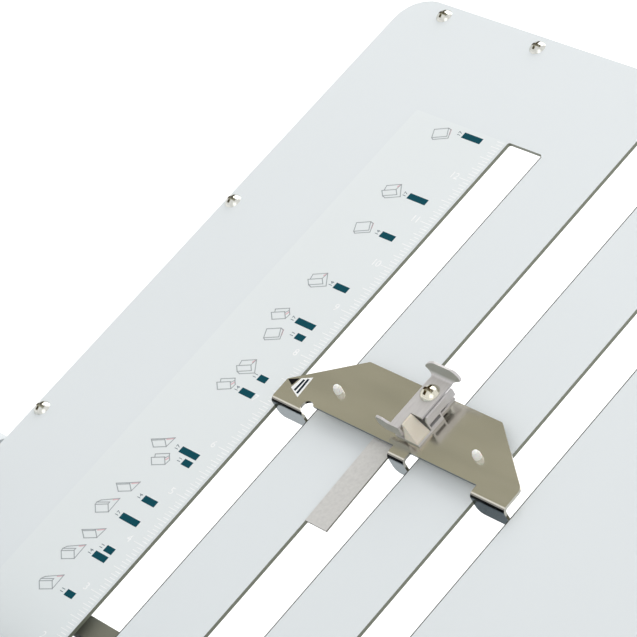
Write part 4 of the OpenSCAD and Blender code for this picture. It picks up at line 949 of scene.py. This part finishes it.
# Directions of that view's right and upwards on the plate, as across and along
FIGURE_VIEW = np.array([[0.89, 0.45], [-0.75, 0.67]])
# Paper lengths in inches: the width of their box, and how far left of and over it each figure stands, in mm
PAPERS = {
    17: (10.7, [(14.5, -1.3), (11.9, -0.4), (11.3, 1.3), (13.4, 1.6), (11.9, 1.9)]),
    14: (7.8, [(12.3, 1.3), (12.0, -0.4), (10.6, 1.0), (12.3, 4.0), (15.1, -2.5)]),
    11: (5.0, [(14.9, -1.6), (9.7, 2.2), (14.5, -1.2), (10.6, 5.4), (12.3, 1.6)]),
}
# Boxes: their right edge across the plate, their height, and their lead over the fold, in mm
BOX_RIGHT, BOX_TALL, BOX_LEAD = -77.7, 3.0, 0.4


def divisions(name, plane, prints, far, low, ink):
    """A division every part of an inch, longer at eighths, quarters, halves and inches, and inch numbers."""
    shortest, longer = 3.2, 0.85
    half_line = 0.16
    margin = 0.3
    number_lead = 9.8
    right = prints.film_right
    last = int(far / INCH * prints.divisions)
    step = np.arange(prints.divisions, last + 1)
    length = shortest + longer * np.log2(np.gcd(step, prints.divisions))
    at = step * INCH / prints.divisions
    lines = rectangles(right - margin - length, right - margin, at - half_line, at + half_line)
    piece(name + "_divisions", slabs(plane, lines, low, low + INK), ink)
    words = [(str(k), (right - number_lead, k * INCH)) for k in range(1, last // prints.divisions + 1)]
    piece(name + "_numbers", digits(plane, words, prints.number_size, INK, low), ink)


def figures(prints, low, high):
    """For every paper length and fold: a box, a small length number and a figure at the fold's distance."""
    # Creases are a little wider than the lines and lie a little lower, so that the lines cover their ends.
    crease_width, crease_drop = 1.6, 0.005
    number_size, number_lead = 1.9, 2.0
    boxes, grey, creases, words = [], [], [], []
    for paper, (wide, places) in PAPERS.items():
        left = BOX_RIGHT - wide
        for (share, lines, crease), (beside, over) in zip(FOLDS, places):
            at = paper * share * INCH + BOX_LEAD
            boxes.append(rectangles(left, BOX_RIGHT, at - BOX_TALL / 2, at + BOX_TALL / 2))
            corner = np.array([left, at]) + np.array([-beside, over]) @ FIGURE_VIEW
            grey += [corner + np.array(line) @ FIGURE_VIEW for line in lines]
            creases.append(corner + np.array(crease) @ FIGURE_VIEW)
            words.append((str(paper), (left - number_lead, at)))
    teal = screen_ink("teal_screen_ink", prints.box_colour)
    piece("size_boxes", slabs(SHEET, np.concatenate(boxes), low, high), teal)
    line_ink = screen_ink("figure_screen_ink", prints.figure_colour)
    piece("fold_figures", slabs(SHEET, strokes(grey, prints.line), low, high), line_ink)
    crease_ink = screen_ink("crease_screen_ink", prints.crease_colour)
    folds = slabs(SHEET, strokes(creases, prints.line * crease_width), low, high - crease_drop)
    piece("fold_creases", folds, crease_ink)
    small_ink = screen_ink("small_number_ink", "#5F6E76")
    numbers = digits(SHEET, words, number_size, high - low, low, math.radians(90))
    piece("size_numbers", numbers, small_ink)


class FOLDING_OT_scale(bpy.types.Operator):
    """Lay the scale film with its print on the upper plate, and a plain scale on the second"""
    bl_idname = "folding.scale"
    bl_label = "Printed scales"

    def execute(self, context):
        prints = settings().prints
        film_top = 0.1
        film = rectangles(prints.film_left, prints.film_right, prints.film_near, prints.film_far)
        clear = polyester_film("matt_polyester_film", prints.film_colour)
        piece("scale_film", slabs(SHEET, film, 0.0, film_top), clear)
        divisions("scale", SHEET, prints, prints.film_far, film_top, white_ink())
        figures(prints, film_top, film_top + INK)
        grey = screen_ink("grey_screen_ink", prints.figure_colour)
        free = reach(SECOND, "second_upper_sheet")[1] - INCH
        divisions("second_scale", SECOND, prints, free, 0.0, grey)
        return {"FINISHED"}


class FOLDING_OT_stop_marks(bpy.types.Operator):
    """Put the black pointer and the small white label on the upper paper stop"""
    bl_idname = "folding.stop_marks"
    bl_label = "Stop marks"

    def execute(self, context):
        # Places are measured across from the middle and back from the stop's far edge, in mm.
        pointer = [[[-64.3, -21.5], [-60.6, -23.2], [-59.8, -19.2]]]
        label = [[[-60.0, -24.2], [-53.7, -26.8], [-54.3, -16.4], [-58.9, -18.8]]]
        bars = [[[-57.4, -24.2], [-57.2, -19.4]], [[-55.3, -24.9], [-55.6, -18.4]]]
        bar_width = 1.1
        film = 0.08
        far, top = reach(SHEET, "stop_plate")[1:]
        pointer, label, bars = [np.array(places) + (0.0, far) for places in (pointer, label, bars)]
        black = screen_ink("black_screen_ink", "#101010")
        piece("stop_pointer", slabs(SHEET, pointer, top, top + film), black, "paper_stop")
        white = screen_ink("white_label_vinyl", "#F2F3F2")
        piece("stop_label", slabs(SHEET, label, top, top + film), white, "paper_stop")
        navy = screen_ink("navy_screen_ink", "#1E2A33")
        shape = slabs(SHEET, strokes(bars, bar_width), top + film, top + film + INK)
        piece("stop_label_bars", shape, navy, "paper_stop")
        return {"FINISHED"}


class FOLDING_OT_feed(bpy.types.Operator):
    """Finish the feed table, its guides and the separator pad, and print the paper widths on the table"""
    bl_idname = "folding.feed"
    bl_label = "Feed"

    def execute(self, context):
        finish = settings().finish
        dress(painted_panel("folded_panel_powder_coat", finish.second), "feed_table", edge=0.8)
        dress(dark_moulding("guide_nylon", "#4A5055"), "guide_left", "guide_right", edge=0.4)
        dress(cork_rubber("pressed_cork_rubber"), "separator_pad")
        # The table's box reaches up to its ramp, so the flat part's height is that of the table's front edge.
        cloud = points("feed_table")
        front = cloud[:, 1].min()
        table = level(front, cloud[cloud[:, 1] < front + 1 * MM][:, 2].max())
        # Paper 7 to 13 inches wide reaches half its width to each side; a line stands at every quarter inch.
        ink_top = 0.04
        half_line = 0.2
        lines_end, number_place, number_size = 34, 22.0, 4.0
        inch_line, quarter_line = 7.0, 4.0
        narrowest, widest = 7, 13
        quarters = np.arange(narrowest * 4, widest * 4 + 1)
        place = quarters * INCH / 8
        length = np.where(quarters % 4 == 0, inch_line, quarter_line)
        lines = [rectangles(side * place - half_line, side * place + half_line, lines_end - length, lines_end)
                 for side in (-1, 1)]
        ink = screen_ink("table_screen_ink", "#7C868C")
        piece("table_divisions", slabs(table, np.concatenate(lines), 0.0, ink_top), ink)
        words = [(str(k), (side * k * INCH / 2, number_place)) for k in range(narrowest, widest + 1)
                 for side in (-1, 1)]
        piece("table_numbers", digits(table, words, number_size, ink_top, 0.0), ink)
        return {"FINISHED"}


class FOLDING_OT_delivery(bpy.types.Operator):
    """Finish the delivery tray and its stop, and give the tray its pressed ribs and rolled hems"""
    bl_idname = "folding.delivery"
    bl_label = "Delivery"

    def execute(self, context):
        paint = painted_panel("folded_panel_powder_coat", settings().finish.second)
        dress(paint, "delivery_tray", edge=0.6)
        dress(dark_moulding("guide_nylon", "#4A5055"), "delivery_stop", edge=0.4)
        # Ribs stand at shares of the tray's half width and run between shares of its depth.
        rib_places = np.array([-0.8, -0.55, 0.55, 0.8])
        rib_near, rib_far = 0.25, 0.94
        rib_width, rib_height = 8.0, 1.0
        hem = settings().trim.hem
        hem_inset, hem_end = 1.5, 2.0
        cloud = points("delivery_tray")
        low, high = corners_of("delivery_tray")
        wide, deep = high[0] / MM, (high[1] - low[1]) / MM
        middle = cloud[np.abs(cloud[:, 0]) < high[0] / 2]
        starts, ends = [pairs(wide * rib_places, deep * share) for share in (rib_near, rib_far)]
        shape = ribs(level(low[1], middle[:, 2].max()), starts, ends, rib_width, rib_height)
        piece("tray_ribs", shape, paint, smooth=True)
        edges = np.array([hem_inset - wide, wide - hem_inset])
        starts, ends = [pairs(edges, place) for place in (hem_end, deep - hem_end)]
        shape = ribs(level(low[1], high[2]), starts, ends, hem, hem / 2)
        piece("tray_hems", shape, paint, smooth=True)
        return {"FINISHED"}


def button_film(top, centres):
    """A film with rounded corners, a super-ellipse, under both buttons, and a bar and a ring beside them."""
    half_size = (19.0, 46.0)
    corner_power = 0.22
    steps = 96
    film_top = 0.15
    mark_lead = 19.0
    bar_wide, bar_tall = 1.2, 6.0
    ring_inner, ring_outer = 2.0, 3.0
    middle = centres.mean(axis=0)
    turn = np.arange(steps) * FULL_TURN / steps
    bend = pairs(np.cos(turn), np.sin(turn))
    outline = middle + np.sign(bend) * np.abs(bend) ** corner_power * half_size
    film = polyester_film("grey_polyester_film", "#8F999F")
    piece("button_film", slabs(top, outline[None], 0.0, film_top), film)
    start, stop = centres + np.sign(centres - middle) * (0.0, mark_lead)
    bar = bar_mark(top, start, bar_wide, bar_tall, film_top, film_top + INK)
    ring = ring_mark(top, stop, ring_inner, ring_outer, film_top, film_top + INK)
    piece("button_marks", several([bar, ring]), white_ink())


def switch_marks():
    """A line and a ring on the two halves of the rocker."""
    thick = 0.08
    bar_wide, bar_tall = 1.0, 5.2
    ring_inner, ring_outer = 2.0, 2.8
    near, tight = 0.1 * MM, 0.05 * MM
    cloud = points("power_switch")
    low = corners_of("power_switch")[0]
    middle = middle_of("power_switch")
    waist = cloud[np.abs(cloud[:, 2] - middle[2]) < near]
    valley = np.array([middle[0], waist[:, 1].min(), middle[2]])
    tips = cloud[cloud[:, 1] < low[1] + tight][:, 2]
    halves = []
    for side, tip in ((1.0, tips.max()), (-1.0, tips.min())):
        end = np.array([middle[0], low[1], tip])
        along = side * (end - valley) / np.linalg.norm(end - valley)
        halves.append(Plane((valley + end) / 2, X, along, np.cross(X, along)))
    line = bar_mark(halves[0], (0.0, 0.0), bar_wide, bar_tall, 0.0, thick)
    piece("switch_line", line, white_ink(), "power_switch")
    ring = ring_mark(halves[1], (0.0, 0.0), ring_inner, ring_outer, 0.0, thick)
    piece("switch_ring", ring, white_ink(), "power_switch")


class FOLDING_OT_controls(bpy.types.Operator):
    """Finish the buttons, the switch and the inlet, with their bezels, marks and pins"""
    bl_idname = "folding.controls"
    bl_label = "Controls"

    def execute(self, context):
        dress(moulded_abs("green_button_abs", "#3F8F5A", 0.3), "start_button", edge=0.8)
        dress(moulded_abs("red_button_abs", "#B23A34", 0.3), "stop_button", edge=0.8)
        dark = dark_moulding("switch_nylon", "#26282A")
        dress(dark, "power_switch", "power_inlet", edge=0.4)
        top = box_face("cover_right", Z, Y)
        centres = np.array([measured(top, middle_of(name))[:2] for name in ("start_button", "stop_button")])
        # Radius and height round the bezel's section
        bezel = [(9.5, 0), (9.5, 1.0), (10.2, 1.6), (12.2, 1.2), (13.0, 0)]
        rings = several([turned(top, centre, bezel, ring=True) for centre in centres])
        piece("button_bezels", rings, dark, smooth=True)
        button_film(top, centres)
        front = box_face("cover_right", -Y, Z)
        bar_width, bar_height = 2.6, 1.4
        for name, wide, tall in (("power_switch", 21.5, 31.5), ("power_inlet", 21.5, 28.5)):
            around = moved(front, *measured(front, middle_of(name))[:2])
            bars = frame_bars(around, wide, tall, bar_width, bar_height)
            piece(name + "_frame", bars, dark, smooth=True)
        # The last plane is the inlet's: three flat pins stand in its socket, sunk behind its face.
        pin_root, pin_tip = -18.0, -4.0
        pins = rectangles([-4.2, -4.2, 1.8], [-2.2, -2.2, 3.8], [5.0, -9.0, -2.0], [9.0, -5.0, 2.0])
        zinc = zinc_plate("zinc_plated_pin", "#B4B4B0")
        piece("inlet_pins", slabs(around, pins, pin_root, pin_tip), zinc)
        switch_marks()
        return {"FINISHED"}


def screws(trim, painted_shade, right, left):
    """Four pan heads on each cover, with dark crosses of painted shade for their recesses."""
    aside, low, high = 104.0, -120.0, 104.0
    corners = [(side * aside, at) for side in (-1, 1) for at in (low, high)]
    for name, plane in (("right", right), ("left", left)):
        steel = screw_steel("nickel_plated_screw_" + name, "#D0D2D2", "#5A5A54", tuple(plane.above))
        heads = pan_heads(plane, corners, trim.screw_radius)
        piece("cover_screws_" + name, heads, steel, smooth=True)
        cuts = crosses(plane, corners, trim.screw_radius)
        piece("cover_screw_recess_" + name, cuts, painted_shade)


def vent(trim, case, painted_shade, right):
    """Louvres in the right cover, each with a dark gap under it: a thin dark slab of painted shade."""
    width, height = 5.0, 2.2
    gap_end, gap_low, gap_high, gap_thick = 2, 3.6, 2.2, 0.05
    aside, lower = 30.0, -30.0
    place = moved(right, aside, lower)
    rows = (np.arange(trim.louvres) - (trim.louvres - 1) / 2) * trim.louvre_pitch
    half = trim.louvre_length / 2
    louvres = ribs(place, pairs(-half, rows), pairs(half, rows), width, height)
    piece("vent_louvres", louvres, case, smooth=True)
    gaps = rectangles(gap_end - half, half - gap_end, rows - gap_low, rows - gap_high)
    piece("vent_gaps", slabs(place, gaps, 0.0, gap_thick), painted_shade)


def grip(moulding):
    """Four low ribs near the lid's front edge."""
    half = 34.0
    rows = np.array([-26.0, -30.0, -34.0, -38.0])
    width, height = 2.4, 1.0
    shape = ribs(box_face("top_cover", Z, Y), pairs(-half, rows), pairs(half, rows), width, height)
    piece("lid_grip", shape, moulding, "lid", smooth=True)


class FOLDING_OT_trim(bpy.types.Operator):
    """Add the covers' screws, the vent louvres, the lid's grip and the ring round the hand knob"""
    bl_idname = "folding.trim"
    bl_label = "Trim"

    def execute(self, context):
        trim = settings().trim
        finish = settings().finish
        case = moulded_abs("spark_eroded_abs", finish.case)
        # A dark material for painted shade: the screws' crosses and the gaps under the louvres
        painted_shade = dark_moulding("screw_recess_shadow", "#2A2B2C")
        right = box_face("cover_right", X, Z)
        left = box_face("cover_left", -X, Z)
        screws(trim, painted_shade, right, left)
        vent(trim, case, painted_shade, right)
        grip(moulded_abs("spark_eroded_lid_abs", finish.second))
        # Radius and height round the section of the ring in which the hand knob turns
        section = [(21.0, 0), (21.0, 1.0), (22.0, 1.8), (24.4, 1.2), (25.4, 0)]
        centre = measured(left, joint_point("roller_2_turn"))[:2]
        ring = turned(left, centre, section, steps=64, ring=True)
        piece("knob_ring", ring, case, smooth=True)
        out, wide, tall, thick = 10.5, 1.6, 9.0, 0.1
        mark = bar_mark(box_face("hand_knob", -X, Z), (0.0, out), wide, tall, 0.0, thick)
        piece("knob_mark", mark, white_ink(), "roller_2")
        return {"FINISHED"}


OPERATORS = (
    FOLDING_OT_stage, FOLDING_OT_case, FOLDING_OT_drive, FOLDING_OT_fold_plates, FOLDING_OT_paper_stops,
    FOLDING_OT_scale, FOLDING_OT_stop_marks, FOLDING_OT_feed, FOLDING_OT_delivery, FOLDING_OT_controls,
    FOLDING_OT_trim)


class FOLDING_PT_panel(bpy.types.Panel):
    """The machine's operators and settings in the sidebar"""
    bl_idname = "FOLDING_PT_panel"
    bl_label = "Folding machine"
    bl_space_type = "VIEW_3D"
    bl_region_type = "UI"
    bl_category = "Folding machine"

    def draw(self, context):
        for operator in OPERATORS:
            self.layout.operator(operator.bl_idname)
        machine = context.scene.folding_machine
        for group in (machine.prints, machine.finish, machine.trim, machine.stage):
            box = self.layout.box()
            for name in group.__annotations__:
                box.prop(group, name)


CLASSES = (PrintSettings, FinishSettings, TrimSettings, StageSettings, MachineSettings)
CLASSES += OPERATORS + (FOLDING_PT_panel,)


def register():
    for item in CLASSES:
        bpy.utils.register_class(item)
    bpy.types.Scene.folding_machine = PointerProperty(type=MachineSettings)


def unregister():
    del bpy.types.Scene.folding_machine
    for item in reversed(CLASSES):
        bpy.utils.unregister_class(item)


def main():
    """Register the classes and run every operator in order."""
    register()
    for operator in OPERATORS:
        group, name = operator.bl_idname.split(".")
        getattr(getattr(bpy.ops, group), name)()
    bpy.context.view_layer.update()


if __name__ == "__main__":
    main()
